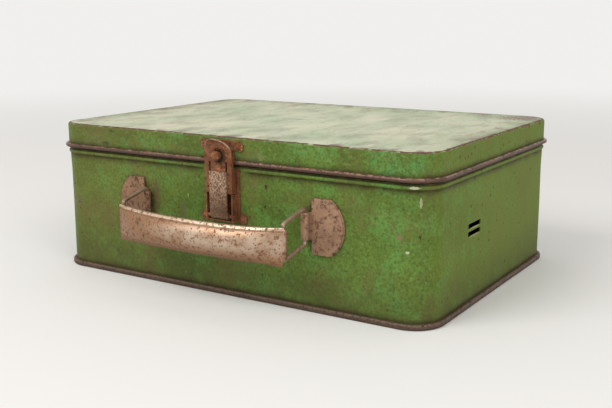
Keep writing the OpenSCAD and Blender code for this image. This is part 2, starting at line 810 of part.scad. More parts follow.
module hinge_body_leaf(x) {
  color(bare) placed() difference() {
    union() {
      on_back(wall_off, hinge_t, x) difference() {
        union() {
          translate([-hinge_w / 2, hinge_z - hinge_leaf_h])
            square([hinge_w, hinge_leaf_h - hinge_r - knuckle_gap]);
          translate([-mid_knuckle / 2, hinge_z - hinge_leaf_h]) square([mid_knuckle, hinge_leaf_h]);
        }
        hinge_rivet_places(body_leaf_rivet_z) circle(rivet_d / 2 + rivet_gap);
      }
      hinge_knuckle(x - mid_knuckle / 2, x + mid_knuckle / 2);
    }
    hinge_bore(x);
  }
}

// The lid leaf steps out over the rolled edge; a short tail under its knuckles stops the lid
module hinge_lid_leaf(x) {
  out = hinge_off + hinge_r;
  color(bare) placed() difference() {
    union() {
      back_bar(x - hinge_w / 2, x + hinge_w / 2) {
        translate([out - hinge_t, hinge_z + hinge_r + knuckle_gap])
          square([hinge_t, lid_leaf_foot_z + hinge_t - hinge_z - hinge_r - knuckle_gap]);
        translate([0, lid_leaf_foot_z]) square([out, hinge_t]);
        translate([0, lid_leaf_foot_z])
          square([hinge_t, case_h - lid_edge_r - 0.3 - lid_leaf_foot_z]);
      }
      for (s = [-1, 1]) {
        near = s * (mid_knuckle / 2 + knuckle_gap);
        far = s * hinge_w / 2;
        x0 = x + min(near, far);
        x1 = x + max(near, far);
        hinge_knuckle(x0, x1);
        back_bar(x0, x1) {
          translate([out - hinge_t, hinge_z]) square([hinge_t, hinge_r + knuckle_gap + eps]);
          translate([hinge_off, hinge_z]) rotate(stop_angle)
            translate([hinge_r - hinge_t, 0]) square([stop_reach - hinge_r + hinge_t, hinge_t]);
        }
      }
    }
    hinge_bore(x);
    on_back(-1, hinge_t + 2, x) hinge_rivet_places(lid_leaf_rivet_z) circle(rivet_d / 2 + rivet_gap);
  }
}

module left_hinge_body_leaf() { hinge_body_leaf(-hinge_x); }
module right_hinge_body_leaf() { hinge_body_leaf(hinge_x); }
module left_hinge_lid_leaf() { hinge_lid_leaf(-hinge_x); }
module right_hinge_lid_leaf() { hinge_lid_leaf(hinge_x); }

module hinge_pin(x) {
  over = 0.5;
  color(nickel) placed() translate([x, case_d / 2 + hinge_off, hinge_z]) rotate([0, 90, 0]) {
    cylinder(h = hinge_w + over, d = hinge_pin_d, center = true);
    for (s = [-1, 1])
      translate([0, 0, s * (hinge_w / 2 + seam_play + over / 2)])
        cylinder(h = over, d = hinge_pin_d + 0.8, center = true);
  }
}

module left_hinge_pin() { hinge_pin(-hinge_x); }
module right_hinge_pin() { hinge_pin(hinge_x); }

module hinge_rivets(z, seat, tail) {
  for (side = [-1, 1], s = [-1, 1])
    translate([side * hinge_x + s * hinge_w * rivet_share, case_d / 2 + seat + hinge_t, z])
      rotate(180) rivet(hinge_t + sheet, tail);
}

module hinge_body_rivets() {
  color(bare) placed() hinge_rivets(body_leaf_rivet_z, wall_off, rivet_tail);
}

module hinge_lid_rivets() {
  color(bare) placed() hinge_rivets(lid_leaf_rivet_z, 0, 0);
}

body_wall();
base_pan();
lid_shell();
lid_rim_wire();
left_handle_plate();
right_handle_plate();
left_link();
right_link();
handle_grip();
latch_body_plate();
latch_body_rivets();
latch_pivot_pin();
hasp_lever();
hasp_strap();
hasp_spring();
hasp_knob();
keeper_plate();
keeper_rivets();
left_hinge_body_leaf();
right_hinge_body_leaf();
left_hinge_lid_leaf();
right_hinge_lid_leaf();
left_hinge_pin();
right_hinge_pin();
hinge_body_rivets();
hinge_lid_rivets();
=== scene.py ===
# %% [markdown]
# # A small tin trunk
# The trunk is a box of thin pressed steel for papers and keepsakes. Its lid has a rolled edge,
# a snap hasp closes it at the front, and a sheet-metal grip swings on two wire links.
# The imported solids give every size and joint. This lesson dresses them: the big sheets, the grip
# and the wires are made again as finer surfaces, the latch and hinges get softened edges, and
# old paint, nickel and rust are built from noise.

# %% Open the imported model
import json
import math
from functools import partial

import bmesh
import bpy
import numpy as np
from mathutils import Matrix, Vector

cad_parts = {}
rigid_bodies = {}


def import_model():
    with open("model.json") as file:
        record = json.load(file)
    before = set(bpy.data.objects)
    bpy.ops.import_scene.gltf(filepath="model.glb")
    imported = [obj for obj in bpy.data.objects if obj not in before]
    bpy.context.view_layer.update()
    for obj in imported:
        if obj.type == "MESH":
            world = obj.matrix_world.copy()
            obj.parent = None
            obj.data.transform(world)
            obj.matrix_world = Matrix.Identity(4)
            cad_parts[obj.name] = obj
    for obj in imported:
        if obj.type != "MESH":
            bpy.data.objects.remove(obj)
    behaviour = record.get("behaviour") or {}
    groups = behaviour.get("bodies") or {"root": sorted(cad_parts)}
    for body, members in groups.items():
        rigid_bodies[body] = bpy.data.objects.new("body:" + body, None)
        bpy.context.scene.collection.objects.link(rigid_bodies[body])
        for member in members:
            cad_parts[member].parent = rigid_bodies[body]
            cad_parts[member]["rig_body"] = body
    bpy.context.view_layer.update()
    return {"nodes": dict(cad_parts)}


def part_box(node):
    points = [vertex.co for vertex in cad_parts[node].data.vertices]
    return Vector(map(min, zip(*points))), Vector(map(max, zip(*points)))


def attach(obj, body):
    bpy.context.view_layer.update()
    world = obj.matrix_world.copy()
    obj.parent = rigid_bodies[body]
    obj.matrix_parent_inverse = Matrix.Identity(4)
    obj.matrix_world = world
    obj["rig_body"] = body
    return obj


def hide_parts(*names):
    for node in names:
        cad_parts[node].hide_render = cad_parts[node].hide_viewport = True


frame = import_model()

MM = 0.001


def solid_box(solid):
    """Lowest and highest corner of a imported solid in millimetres."""
    return [np.array(corner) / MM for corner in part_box(solid)]


# %% [markdown]
# ## Sizes
# The new surfaces lie exactly where the solids are, so the driving sizes are read from the
# boxes of the solids where that is possible, and are repeated in millimetres where it is not.
# Distances "out" are measured outwards from the outer plane of the lid's skirt.

# %% Sizes of the case in millimetres
SHEET = 0.6
CORNER_R = 16.5
ROLL_R = 1.3
ROLL_PROUD = 2.1
WALL_OUT = -0.67
lid_low, lid_high = solid_box("lid_shell")
CASE_W, CASE_D = (lid_high - lid_low)[:2] - 2 * ROLL_PROUD
CASE_Y = (lid_high + lid_low)[1] / 2
CASE_H = lid_high[2]
LID_Z = lid_low[2]
FRONT_Y = CASE_Y - CASE_D / 2
FITTINGS_X = 1.9
print("case", [round(side, 2) for side in (CASE_W, CASE_D, CASE_H)], "mm, lid edge at", round(LID_Z, 2))

# %% [markdown]
# ## The camera
# The photograph was taken from the front right, a little above the lid, with a long lens. A camera
# can be aimed by a target or by angles. Angles are used here, because they came out of matching
# the trunk's corners with the picture, and they give the small tilt of the frame as well.

# %% Camera
CAMERA_PLACE = (0.30376, -0.46449, 0.15678)
CAMERA_YAW, CAMERA_PITCH, CAMERA_ROLL = 32.53, 12.07, -0.26
SENSOR_MM, LENS_MM = 36.0, 53.28


def placed(name, data):
    """New object in the scene, at the origin."""
    made = bpy.data.objects.new(name, data)
    bpy.context.scene.collection.objects.link(made)
    return made


camera = placed("camera", bpy.data.cameras.new("camera"))
camera.data.sensor_width, camera.data.lens = SENSOR_MM, LENS_MM
aim = (Matrix.Rotation(math.radians(CAMERA_YAW), 4, "Z")
       @ Matrix.Rotation(math.radians(90 - CAMERA_PITCH), 4, "X")
       @ Matrix.Rotation(math.radians(CAMERA_ROLL), 4, "Z"))
camera.matrix_world = Matrix.Translation(CAMERA_PLACE) @ aim
bpy.context.scene.camera = camera
print("camera looks along", [round(value, 3) for value in aim @ Vector((0, 0, -1))])

# %% [markdown]
# ## A surface from a grid of points
# Every new piece is a grid: one direction runs along a path, the other round a section. A list of
# faces could be typed by hand, but shifting the grid by one row and one column gives all its
# quads at once. Closed directions wrap round, poles are merged, and the normals of the closed
# shell are turned outwards.

# %% Helper: grid to mesh
WELD = 0.004


def smooth(mesh, sharp):
    """Shades smooth, but keeps every edge that turns more than sharp degrees."""
    mesh.shade_smooth()
    mesh.set_sharp_from_angle(angle=math.radians(sharp))


def surface(name, grid, capped=False, sharp=50, **values):
    """Quad (i, j), (i+1, j), (i+1, j+1), (i, j+1) for each cell of grid[i, j], in millimetres.

    The section closes on itself, and so does the path, unless its two ends are capped. values are
    numbers per point that the materials read as attributes."""
    rows, columns = grid.shape[:2]
    index = np.arange(rows * columns).reshape(rows, columns)
    ends = [index[0, ::-1].tolist(), index[-1].tolist()] if capped else []
    if not capped:
        index = np.vstack([index, index[:1]])
    index = np.hstack([index, index[:, :1]])
    quads = np.stack([index[:-1, :-1], index[1:, :-1], index[1:, 1:], index[:-1, 1:]], axis=-1)
    mesh = bpy.data.meshes.new(name)
    mesh.from_pydata(grid.reshape(-1, 3) * MM, [], quads.reshape(-1, 4).tolist() + ends)
    for key, value in values.items():
        layer = mesh.attributes.new(key, "FLOAT", "POINT")
        per_point = np.broadcast_to(value, (rows, columns)).astype(np.float32)
        layer.data.foreach_set("value", per_point.ravel())
    merge_doubles(mesh)
    smooth(mesh, sharp)
    return placed(name, mesh)


def merge_doubles(mesh):
    """Merges doubled points and turns the faces of the closed shell outwards."""
    work = bmesh.new()
    work.from_mesh(mesh)
    bmesh.ops.remove_doubles(work, verts=work.verts, dist=WELD * MM)
    bmesh.ops.recalc_face_normals(work, faces=work.faces)
    work.to_mesh(mesh)
    work.free()


def smoothstep(low, high, value):
    """0 below low, 1 above high and 3t^2 - 2t^3 between them."""
    t = np.clip((value - low) / (high - low), 0, 1)
    return t * t * (3 - 2 * t)


def ripple(x, y):
    """Smooth unevenness from -1 to 1: the mean of three crossed sine waves."""
    return (np.sin(x + 0.4 * y) + np.sin(0.6 * x - 1.3 * y + 1.7) + np.sin(1.7 * x + 0.9 * y + 4.1)) / 3

# %% [markdown]
# ## The outline of the case
# The lid, the walls and the base all follow one rounded rectangle. It is walked once, side by side
# and corner by corner, and each point keeps its outward direction. Any section can then be carried
# round it: the section's "out" goes along that direction, and its height goes up.

# %% Helper: carry a section round the case
SIDE_STEPS, CORNER_STEPS = 64, 14


def case_outline():
    """Side: a line reach * out + t * along. Corner: centre + radius * (out cos a + along sin a)."""
    half = np.array([CASE_W, CASE_D]) / 2 - CORNER_R
    points, outwards = [], []
    for quarter in range(4):
        turn = quarter * math.pi / 2
        out = np.array([math.sin(turn), -math.cos(turn)])
        along = np.array([math.cos(turn), math.sin(turn)])
        run, reach = half[quarter % 2], half[1 - quarter % 2]
        t = np.linspace(-run, run, int(SIDE_STEPS * run / half[0]), endpoint=False)[:, None]
        points.append((reach + CORNER_R) * out + t * along)
        outwards.append(out + 0 * t)
        a = np.linspace(0, math.pi / 2, CORNER_STEPS, endpoint=False)[:, None]
        facing = np.cos(a) * out + np.sin(a) * along
        points.append(reach * out + run * along + CORNER_R * facing)
        outwards.append(facing)
    return np.vstack(points), np.vstack(outwards)


def carried(outline, out, z):
    """Grid of outline point + out * outward direction, at height z."""
    points, outwards = outline
    out, z = np.broadcast_arrays(out, z)
    out = np.broadcast_to(out, (len(points), out.shape[-1]))
    xy = points[:, None] + outwards[:, None] * out[..., None] + [0, CASE_Y]
    return np.dstack([xy, np.broadcast_to(z, out.shape)])


outline = case_outline()
PLACES = outline[0]
walk = np.linspace(0, 2 * math.pi, len(PLACES), endpoint=False)[:, None]
print("points round the case:", len(PLACES))

# %% [markdown]
# ## The body wall
# The wall of the real trunk is one strip of tinplate. It has a swaged bead near the top, a neck
# that is set in so that the lid slips over it, and a hem folded in at the mouth. A flat extrusion
# would miss the bead's fading ends beside the latch, so the section changes along the path. The
# open walls also have a few shallow dents, never outwards, so the fittings still lie on them.

# %% Outside of the wall
SHOULDER_Z = LID_Z - 0.7
NECK_IN = SHEET + 0.85
NECK_TOP = CASE_H - SHEET - 0.1
SEAM_SLOT_Z = 0.9
BEAD_Z, BEAD_H, BEAD_PROUD = LID_Z - 2.5, 2.8, 0.9
HINGE_X = 72
HEM_H = 4
WALL_DENT = 0.22


def bead_strength(points):
    """1 along the open walls; it fades to 0 beside the latch and the two hinges."""
    x, front = points[:, 0], points[:, 1] < 0
    latch = smoothstep(14, 16.5, np.abs(x - FITTINGS_X))
    hinges = smoothstep(14.5, 17, np.abs(np.abs(x) - HINGE_X))
    side = np.abs(points[:, 1]) < CASE_D / 2 - 1
    return np.where(side, 1, np.where(front, latch, hinges))[:, None]


open_rows, bead_rows = np.linspace(3.6, 69.8, 34), np.linspace(70.3, SHOULDER_Z, 24)
wall_z = np.concatenate([[SEAM_SLOT_Z, 2.2], open_rows, bead_rows])
bead_shape = np.clip(1 - ((wall_z - BEAD_Z) / (BEAD_H / 2)) ** 2, 0, 1)
bead = BEAD_PROUD * bead_shape * bead_strength(PLACES) * (1 - 0.08 * (1 + ripple(9 * walk, 1.0)))
open_wall = smoothstep(4, 14, wall_z) * smoothstep(69, 60, wall_z)
dents = WALL_DENT * open_wall * np.clip(ripple(6 * walk + 1, wall_z / 17) + 0.2, 0, 1)
outer = WALL_OUT + bead - dents
print("deepest dent:", round(dents.max(), 2), "mm")

# %% Neck and hem
fold = np.linspace(0, math.pi, 7)
neck_out = np.concatenate([[-NECK_IN, -NECK_IN], -NECK_IN - SHEET + SHEET * np.cos(fold),
                           [-NECK_IN - 2 * SHEET, -NECK_IN - SHEET, -NECK_IN - SHEET]])
neck_z = np.concatenate([[LID_Z - 0.1, NECK_TOP - 3], NECK_TOP - SHEET + SHEET * np.sin(fold),
                         [NECK_TOP - HEM_H, NECK_TOP - HEM_H, LID_Z - 0.1]])
ones = np.ones_like(walk)
wall_out = np.hstack([outer, neck_out * ones, (outer - SHEET)[:, ::-1]])
wall_heights = np.concatenate([wall_z, neck_z, wall_z[::-1]])
inner = np.arange(len(wall_heights)) >= len(wall_z) + len(neck_z) - 2
print("section of the wall:", len(wall_heights), "points")

# %% Body wall
# Darkening of the wall: painted shade just under the lid's rolled edge (in_shadow) and under the bead
# (under_bead), and a darker foot by the seam (by_seam).
near_bead = np.exp(-((wall_heights - BEAD_Z - 0.4) / 0.8) ** 2) * bead_strength(PLACES)
below_bead = BEAD_Z - BEAD_H / 2 - wall_heights
under_bead = np.exp(-((below_bead - 0.1) / 0.6) ** 2) + 0.6 * np.exp(-((below_bead - 1.2) / 1.5) ** 2)
under_bead = under_bead * bead_strength(PLACES)
by_seam = smoothstep(6.5, 3.2, wall_heights)
in_shadow = smoothstep(LID_Z - 2.1, LID_Z - 1.3, wall_heights)
body = surface("body_shell", carried(outline, wall_out, wall_heights), inside=inner,
               edge=near_bead * 0.2 * ~inner, grime=np.clip(under_bead + by_seam + in_shadow, 0, 1))
print("body shell:", len(body.data.polygons), "faces")

# %% [markdown]
# ## The slots in the right wall
# Two short slots were punched through the wall. They are cut with a Boolean, because the edge of
# a hole rarely falls on the lines of a grid. The cutter has rounded corners as a worn punch leaves
# them.

# %% Slots
SLOT_LEN, SLOT_H, SLOT_PITCH, SLOT_Z, SLOT_FORWARD = 16.9, 2.7, 4.3, 42.5, 32.2
SLOT_CORNER_R = 0.5
WALL_REACH = 4


def rounded_loop(corners, radii, steps=4):
    """Closed loop whose corners are arcs: each point is centre + r * direction. The centre lies on the
    line that halves the corner's angle, r / sin(half the angle) from the corner."""
    corners = np.array(corners, float)
    loop = []
    for here, before, after, r in zip(corners, np.roll(corners, 1, 0), np.roll(corners, -1, 0), radii):
        back, ahead = ((other - here) / np.linalg.norm(other - here) for other in (before, after))
        half_angle = math.acos(np.clip(back @ ahead, -1, 1)) / 2
        start, end = (here + away * r / math.tan(half_angle) for away in (back, ahead))
        centre = here + (back + ahead) / np.linalg.norm(back + ahead) * r / math.sin(half_angle)
        t = np.linspace(0, 1, steps)[:, None]
        arc = (start - centre) * (1 - t) + (end - centre) * t
        length = np.maximum(np.linalg.norm(arc, axis=1, keepdims=True), 1e-9)
        loop.append(centre + arc / length * r)
    return np.vstack(loop)


def slot_cutter(z):
    """A rounded rectangle of (Y, Z) carried straight along X through the wall."""
    a, b = SLOT_LEN / 2, SLOT_H / 2
    loop = rounded_loop([[-a, -b], [a, -b], [a, b], [-a, b]], [SLOT_CORNER_R] * 4)
    x = np.array([[CASE_W / 2 - WALL_REACH], [CASE_W / 2 + WALL_REACH]])
    grid = np.dstack(np.broadcast_arrays(x, loop[:, 0] + CASE_Y - SLOT_FORWARD, loop[:, 1] + z))
    return surface("cutter", grid, capped=True)


def applied(piece):
    """Puts the result of the piece's modifiers into its mesh."""
    evaluated = piece.evaluated_get(bpy.context.evaluated_depsgraph_get())
    finished = bpy.data.meshes.new_from_object(evaluated)
    piece.modifiers.clear()
    piece.data = finished


for side in (-0.5, 0.5):
    cutter = slot_cutter(SLOT_Z + side * SLOT_PITCH)
    cut = body.modifiers.new("slot", "BOOLEAN")
    cut.object, cut.operation, cut.solver = cutter, "DIFFERENCE", "EXACT"
    applied(body)
    bpy.data.objects.remove(cutter)
smooth(body.data, 50)
print("wall with its slots:", len(body.data.polygons), "faces")

# %% [markdown]
# ## The base
# The bottom panel is joined to the wall by a seam: the sheets are folded over each other and
# pressed flat, which leaves a rounded band round the foot of the trunk. The band is a section with
# a slot for the wall. The panel inside it is a separate skin, raised off the table.

# %% Base seam
SEAM_H, SEAM_PROUD, PANEL_Z = 3.3, 2.13, 1.6
seam_in = -WALL_OUT + 2 * SHEET + 0.02
slot_faces = (WALL_OUT + 0.02, WALL_OUT - SHEET - 0.02)
seam_loop = rounded_loop(
    [[-seam_in - SHEET, 0], [WALL_OUT + SEAM_PROUD, 0], [WALL_OUT + SEAM_PROUD, SEAM_H],
     [slot_faces[0], SEAM_H], [slot_faces[0], SEAM_SLOT_Z], [slot_faces[1], SEAM_SLOT_Z],
     [slot_faces[1], SEAM_H], [-seam_in - SHEET, SEAM_H]],
    [0.3, 1.1, 1.0, 0.25, 0.02, 0.02, 0.15, 0.2], steps=6)
bulge = smoothstep(0.2, 1.0, seam_loop[:, 0])
seam_out = seam_loop[:, 0] - 0.12 * bulge * (1 + ripple(11 * walk, 2.0)) / 2
base_seam = surface("base_seam", carried(outline, seam_out, seam_loop[:, 1]),
                    edge=bulge * np.exp(-((seam_loop[:, 1] - 2.6) / 0.7) ** 2) * ones,
                    grime=smoothstep(1.5, 0.3, seam_loop[:, 1]) * ones)
print("base seam:", len(base_seam.data.polygons), "faces")

# %% Bottom panel
def ridge_rings(out, shares):
    """Rings that shrink from the outline to the middle ridge: start * (1 - t) + ridge point * t.
    The ridge runs along X, as far as the plan is longer than it is deep."""
    points, outwards = outline
    start = points + out * outwards
    reach = (CASE_W - CASE_D) / 2
    ridge = np.stack([np.clip(start[:, 0], -reach, reach), 0 * start[:, 0]], axis=1)
    return start[:, None] * (1 - shares[:, None]) + ridge[:, None] * shares[:, None] + [0, CASE_Y]


panel_shares = np.concatenate([[0, 0.01, 0.05, 0.09, 0.11, 0.13, 0.17], np.linspace(0.25, 1, 14)])
panel_xy = ridge_rings(-seam_in - SHEET / 2, panel_shares)
panel_z = PANEL_Z + 0.5 * smoothstep(0.09, 0.13, panel_shares)
panel = np.concatenate([np.dstack([panel_xy, panel_z * ones]),
                        np.dstack([panel_xy, (panel_z + SHEET) * ones])[:, ::-1]], axis=1)
underside = np.arange(panel.shape[1]) < len(panel_shares)
base_panel = surface("base_panel", panel, grime=0.4 * underside)
print("bottom panel:", len(base_panel.data.polygons), "faces")

# %% [markdown]
# ## The lid
# The lid is a shallow pan. Its skirt turns over a small radius into a top that has sagged a little
# and taken a few dents. The rings of the top shrink from the outline to a ridge line in the
# middle, so the grid has no bad corner. The inner skin is the same form one sheet further in.

# %% Form of the lid
EDGE_R = 1.5
LID_DENTS = ((-62, -38, 17, 0.22), (38, -22, 12, 0.16), (76, 34, 20, 0.2), (-20, 30, 26, 0.2))
skirt_z = np.concatenate([[LID_Z + ROLL_R], np.linspace(LID_Z + 2.8, CASE_H - EDGE_R, 12)])
turn = np.linspace(0, math.pi / 2, 8)[1:]
top_shares = np.concatenate([np.linspace(0.004, 0.1, 10), np.linspace(0.125, 1, 34)])


def lid_sag(xy, shares):
    """Depth of the top under its edge: a broad dish, long ripples and round dents. A dent is
    deep * exp(-(distance / size)^2)."""
    x, y = xy[..., 0], xy[..., 1] - CASE_Y
    depth = 0.25 * smoothstep(0, 0.3, shares) + 0.06 * shares * (1 + ripple(x / 17, y / 13))
    for place_x, place_y, size, deep in LID_DENTS:
        depth = depth + deep * np.exp(-((x - place_x) ** 2 + (y - place_y) ** 2) / size ** 2)
    return depth * smoothstep(0, 0.06, shares)


def lid_layer(inset):
    """Skirt, edge and top of one face of the sheet, inset from the outer one."""
    radius = EDGE_R - inset
    skirt = carried(outline, -inset * np.ones(len(skirt_z)), skirt_z)
    edge = carried(outline, -EDGE_R + radius * np.cos(turn), CASE_H - EDGE_R + radius * np.sin(turn))
    xy = ridge_rings(-EDGE_R, top_shares)
    top = np.dstack([xy, CASE_H - inset - lid_sag(xy, top_shares)])
    return np.concatenate([skirt, edge, top], axis=1)


# %% Lid skin
lid_grid = np.concatenate([lid_layer(0), lid_layer(SHEET)[:, ::-1]], axis=1)
columns = lid_grid.shape[1]
outside = np.arange(columns) < columns // 2
step_count = len(skirt_z) + len(turn)
ring_share = np.concatenate([np.zeros(step_count), top_shares])
ring_share = np.concatenate([ring_share, ring_share[::-1]])
height = lid_grid[..., 2]
undented = np.maximum(height, (CASE_H - 0.03) * (ring_share > 0))
on_top = np.where(outside, smoothstep(CASE_H - 0.6, CASE_H - 0.05, undented), 0)
over_edge = np.exp(-((CASE_H - height) / 0.75) ** 2) * np.exp(-ring_share / 0.007) * outside
rim_band = np.exp(-ring_share / 0.11) * on_top
above_roll = smoothstep(LID_Z + 5.5, LID_Z + 2.4, height) * outside
lid_skin = surface("lid_skin", lid_grid, inside=~outside, top=on_top, edge=over_edge, border=rim_band,
                   grime=above_roll * 0.7)
print("lid skin:", len(lid_skin.data.polygons), "faces")

# %% [markdown]
# ## The rolled edge of the lid
# The lower edge of the skirt is curled outwards round a wire, so that it is stiff and kind to the
# fingers. A torus-like band would be too perfect: hammering and knocks left it slightly uneven, so
# its radius and height wander a little along the path.

# %% Rolled edge
section = np.linspace(0, 2 * math.pi, 22, endpoint=False)
roll_r = ROLL_R * (1 - 0.035 * (1 + ripple(23 * walk, 1.0)))
upward = np.sin(section)
roll_out = ROLL_PROUD - ROLL_R + roll_r * np.cos(section)
roll_z = LID_Z + ROLL_R + roll_r * upward + 0.05 * ripple(5 * walk, 3.0)
# The top of the roll gets rubbed flecks and a painted highlight, and its underside painted shade.
rolled_edge = surface("lid_rolled_edge", carried(outline, roll_out, roll_z),
                      edge=smoothstep(0.2, 0.9, upward) * ones, grime=smoothstep(0.5, -0.6, upward) * ones)
print("rolled edge:", len(rolled_edge.data.polygons), "faces")

# %% [markdown]
# ## The grip
# The grip is a bowed strip of nickelled sheet. Its long edges are hemmed, its middle is rounded
# outwards for the hand, and each end is rolled round the leg of a wire link. It is made as one
# loft: a path in plan that curls at both ends, with the sheet's section standing on it. The hems
# fade and the sheet narrows where it goes round the wire, sooner below than above, because the
# lower arm of a link rises as it leaves the grip and needs the room when the grip swings.

# %% Path of the grip
BARREL_X, SWING = 54.6, math.radians(-6)
LINK_REACH, LINK_DROP, LINK_H, WIRE_R, WIRE_GAP = 17.8, 5.6, 19.6, 1.2, 0.06
BARREL_Z = 46.9
BARREL_Y = FRONT_Y - (WALL_OUT + 2.9)
GRIP_T, GRIP_HEM, GRIP_BOW, GRIP_CROWN = 0.95, 2.2, 5.6, 4.0
GRIP_H, GRIP_MID_H, KNUCKLE_LEN = 20.7, 18.3, 14.2
CURL_END = 285
knuckle_r = WIRE_R + WIRE_GAP + GRIP_T
grip_x = FITTINGS_X + LINK_REACH * math.sin(SWING)
leg_y = BARREL_Y - LINK_REACH * math.cos(SWING)
grip_z = BARREL_Z - LINK_DROP - 1.9
leg_rise = BARREL_Z - LINK_DROP - grip_z

along = np.linspace(-BARREL_X, BARREL_X, 73)
curl = np.radians(np.linspace(0, CURL_END, 28))[1:]
bow_slope = -2 * GRIP_BOW * along / BARREL_X ** 2
face_turn = np.arctan(bow_slope)
right_curl = np.stack([BARREL_X + knuckle_r * np.sin(curl), -knuckle_r * np.cos(curl)], axis=1)
right_facing = np.stack([np.sin(curl), -np.cos(curl)], axis=1)
face = np.stack([along, -knuckle_r - GRIP_BOW * (1 - (along / BARREL_X) ** 2)], axis=1)
face_facing = np.stack([-np.sin(face_turn), -np.cos(face_turn)], axis=1)
flip = np.array([-1, 1])
path = np.vstack([(right_curl * flip)[::-1], face, right_curl])
facing = np.vstack([(right_facing * flip)[::-1], face_facing, right_facing])
curl_angle = np.concatenate([np.degrees(curl)[::-1], 0 * along, np.degrees(curl)])[:, None]
across = np.clip(path[:, 0] / BARREL_X, -1, 1)[:, None]
print("grip path:", len(path), "points")

# %% Section of the grip
GROOVE_DEEP, GROOVE_AT, GROOVE_W = 0.32, 0.80, 0.025
fullness = (1 - np.abs(across) ** 4) * (curl_angle == 0)
half_height = (GRIP_H + (GRIP_MID_H - GRIP_H) * fullness) / 2
narrowed, narrowed_below = smoothstep(35, 72, curl_angle), smoothstep(17, 46, curl_angle)
top_z = half_height * (1 - narrowed) + (leg_rise + KNUCKLE_LEN / 2) * narrowed
low_z = -half_height * (1 - narrowed_below) + (leg_rise - KNUCKLE_LEN / 2) * narrowed_below
rows = np.concatenate([np.linspace(-0.97, -0.72, 9), np.linspace(-0.64, 0.64, 17),
                       np.linspace(0.72, 0.97, 9)])
hem_fade = smoothstep(BARREL_X - 3, BARREL_X - 9, np.abs(path[:, 0]))[:, None] * (curl_angle == 0)
hem = smoothstep(0.79, 0.83, np.abs(rows))
thickness = GRIP_T + (GRIP_HEM - GRIP_T) * hem * hem_fade
groove_fade = smoothstep(52, 46, np.abs(path[:, 0]))[:, None]
groove = GROOVE_DEEP * np.exp(-((np.abs(rows) - GROOVE_AT) / GROOVE_W) ** 2) * groove_fade
crown = GRIP_CROWN * fullness * (1 - rows ** 2)
front_depth = groove - crown
back_depth = thickness - crown
round_end = np.linspace(0, math.pi, 7)[1:-1]
end_r = thickness[:, -1:] / 2
cap_depth = end_r - end_r * np.cos(round_end)
cap_rise = 0.97 + 0.03 * np.sin(round_end)
depth = np.hstack([front_depth, cap_depth - crown[:, -1:],
                   back_depth[:, ::-1], cap_depth[:, ::-1] - crown[:, :1]])
level = np.concatenate([rows, cap_rise, rows[::-1], -cap_rise])
z = (top_z + low_z) / 2 + (top_z - low_z) / 2 * level
xy = path[:, None] - facing[:, None] * depth[..., None] + [grip_x, leg_y]

# %% Grip
lip = smoothstep(0.8, 0.9, level)
foot = smoothstep(-0.62, -0.94, level)
in_groove = np.exp(-((level - 0.79) / 0.05) ** 2)
left_part, upper_part = smoothstep(0.1, -0.8, across), smoothstep(0.35, 0.75, level)
# The lower half is browned as a painted reflection of the brown table in the nickel; the left end and the top
# carry real tarnish.
reflected_table = smoothstep(0.0, -0.75, level)
grip = surface("grip_sheet", np.dstack([xy, grip_z + z]), capped=True, sharp=60,
               edge=lip * np.ones_like(across), grime=np.maximum(foot, 0.7 * in_groove) * (curl_angle < 40),
               tarnish=np.clip(1.1 * left_part + 0.7 * upper_part + reflected_table, 0, 1))
print("grip:", len(grip.data.polygons), "faces")

# %% [markdown]
# ## The wire links
# Each link is a closed loop of wire: one leg turns in the barrel on the case, the other in the
# rolled end of the grip. A curve with a round bevel could make it, but a swept ring keeps the
# straight legs truly round and the bends at one radius.

# %% Links
LINK_BEND, BEND_STEPS, WIRE_SIDES = 1.8, 9, 24
link_corners = np.array([[0, LINK_H / 2], [0, -LINK_H / 2],
                         [LINK_REACH, -LINK_DROP - LINK_H / 2], [LINK_REACH, -LINK_DROP + LINK_H / 2]])


def wire_link(name, side):
    """Ring point = path + r (cos t * outwards in the loop's plane + sin t * across the plane).
    A bend is an arc of LINK_BEND about a centre inside the corner."""
    around = np.linspace(0, 2 * math.pi, WIRE_SIDES, endpoint=False)
    rings = []
    for here, before, after in zip(link_corners, np.roll(link_corners, 1, 0), np.roll(link_corners, -1, 0)):
        arrive = math.atan2(*(here - before)[::-1])
        turning = (math.atan2(*(after - here)[::-1]) - arrive) % (2 * math.pi)
        heading = np.array([math.cos(arrive), math.sin(arrive)])
        inwards = np.array([-heading[1], heading[0]])
        centre = here - heading * LINK_BEND * math.tan(turning / 2) + inwards * LINK_BEND
        a = arrive - math.pi / 2 + np.linspace(0, turning, BEND_STEPS)[:, None]
        rings.append(np.stack(np.broadcast_arrays(
            centre[0] + (LINK_BEND + WIRE_R * np.cos(around)) * np.cos(a),
            centre[1] + (LINK_BEND + WIRE_R * np.cos(around)) * np.sin(a),
            WIRE_R * np.sin(around)), axis=-1))
    reach, rise, off = np.moveaxis(np.concatenate(rings), -1, 0)
    x = FITTINGS_X + side * BARREL_X + reach * math.sin(SWING) + off * math.cos(SWING)
    y = BARREL_Y - reach * math.cos(SWING) + off * math.sin(SWING)
    return surface(name, np.dstack([x, y, BARREL_Z + rise]))


left_wire = wire_link("left_link_wire", -1)
right_wire = wire_link("right_link_wire", 1)
print("each link:", len(left_wire.data.polygons), "faces")

# %% [markdown]
# ## Softened fittings
# The plates, the hasp, the strap and the hinges were stamped from sheet and have been handled for
# decades, so no edge is sharp. Their solids have the right shape already. A merged copy with a
# small bevel on its sharp edges takes the light as worn metal does.

# %% Helper: softened copy of a solid
SOLID_WELD, FLAT_DEG, BEVEL_DEG, SMOOTH_DEG = 0.002, 0.5, 32, 35


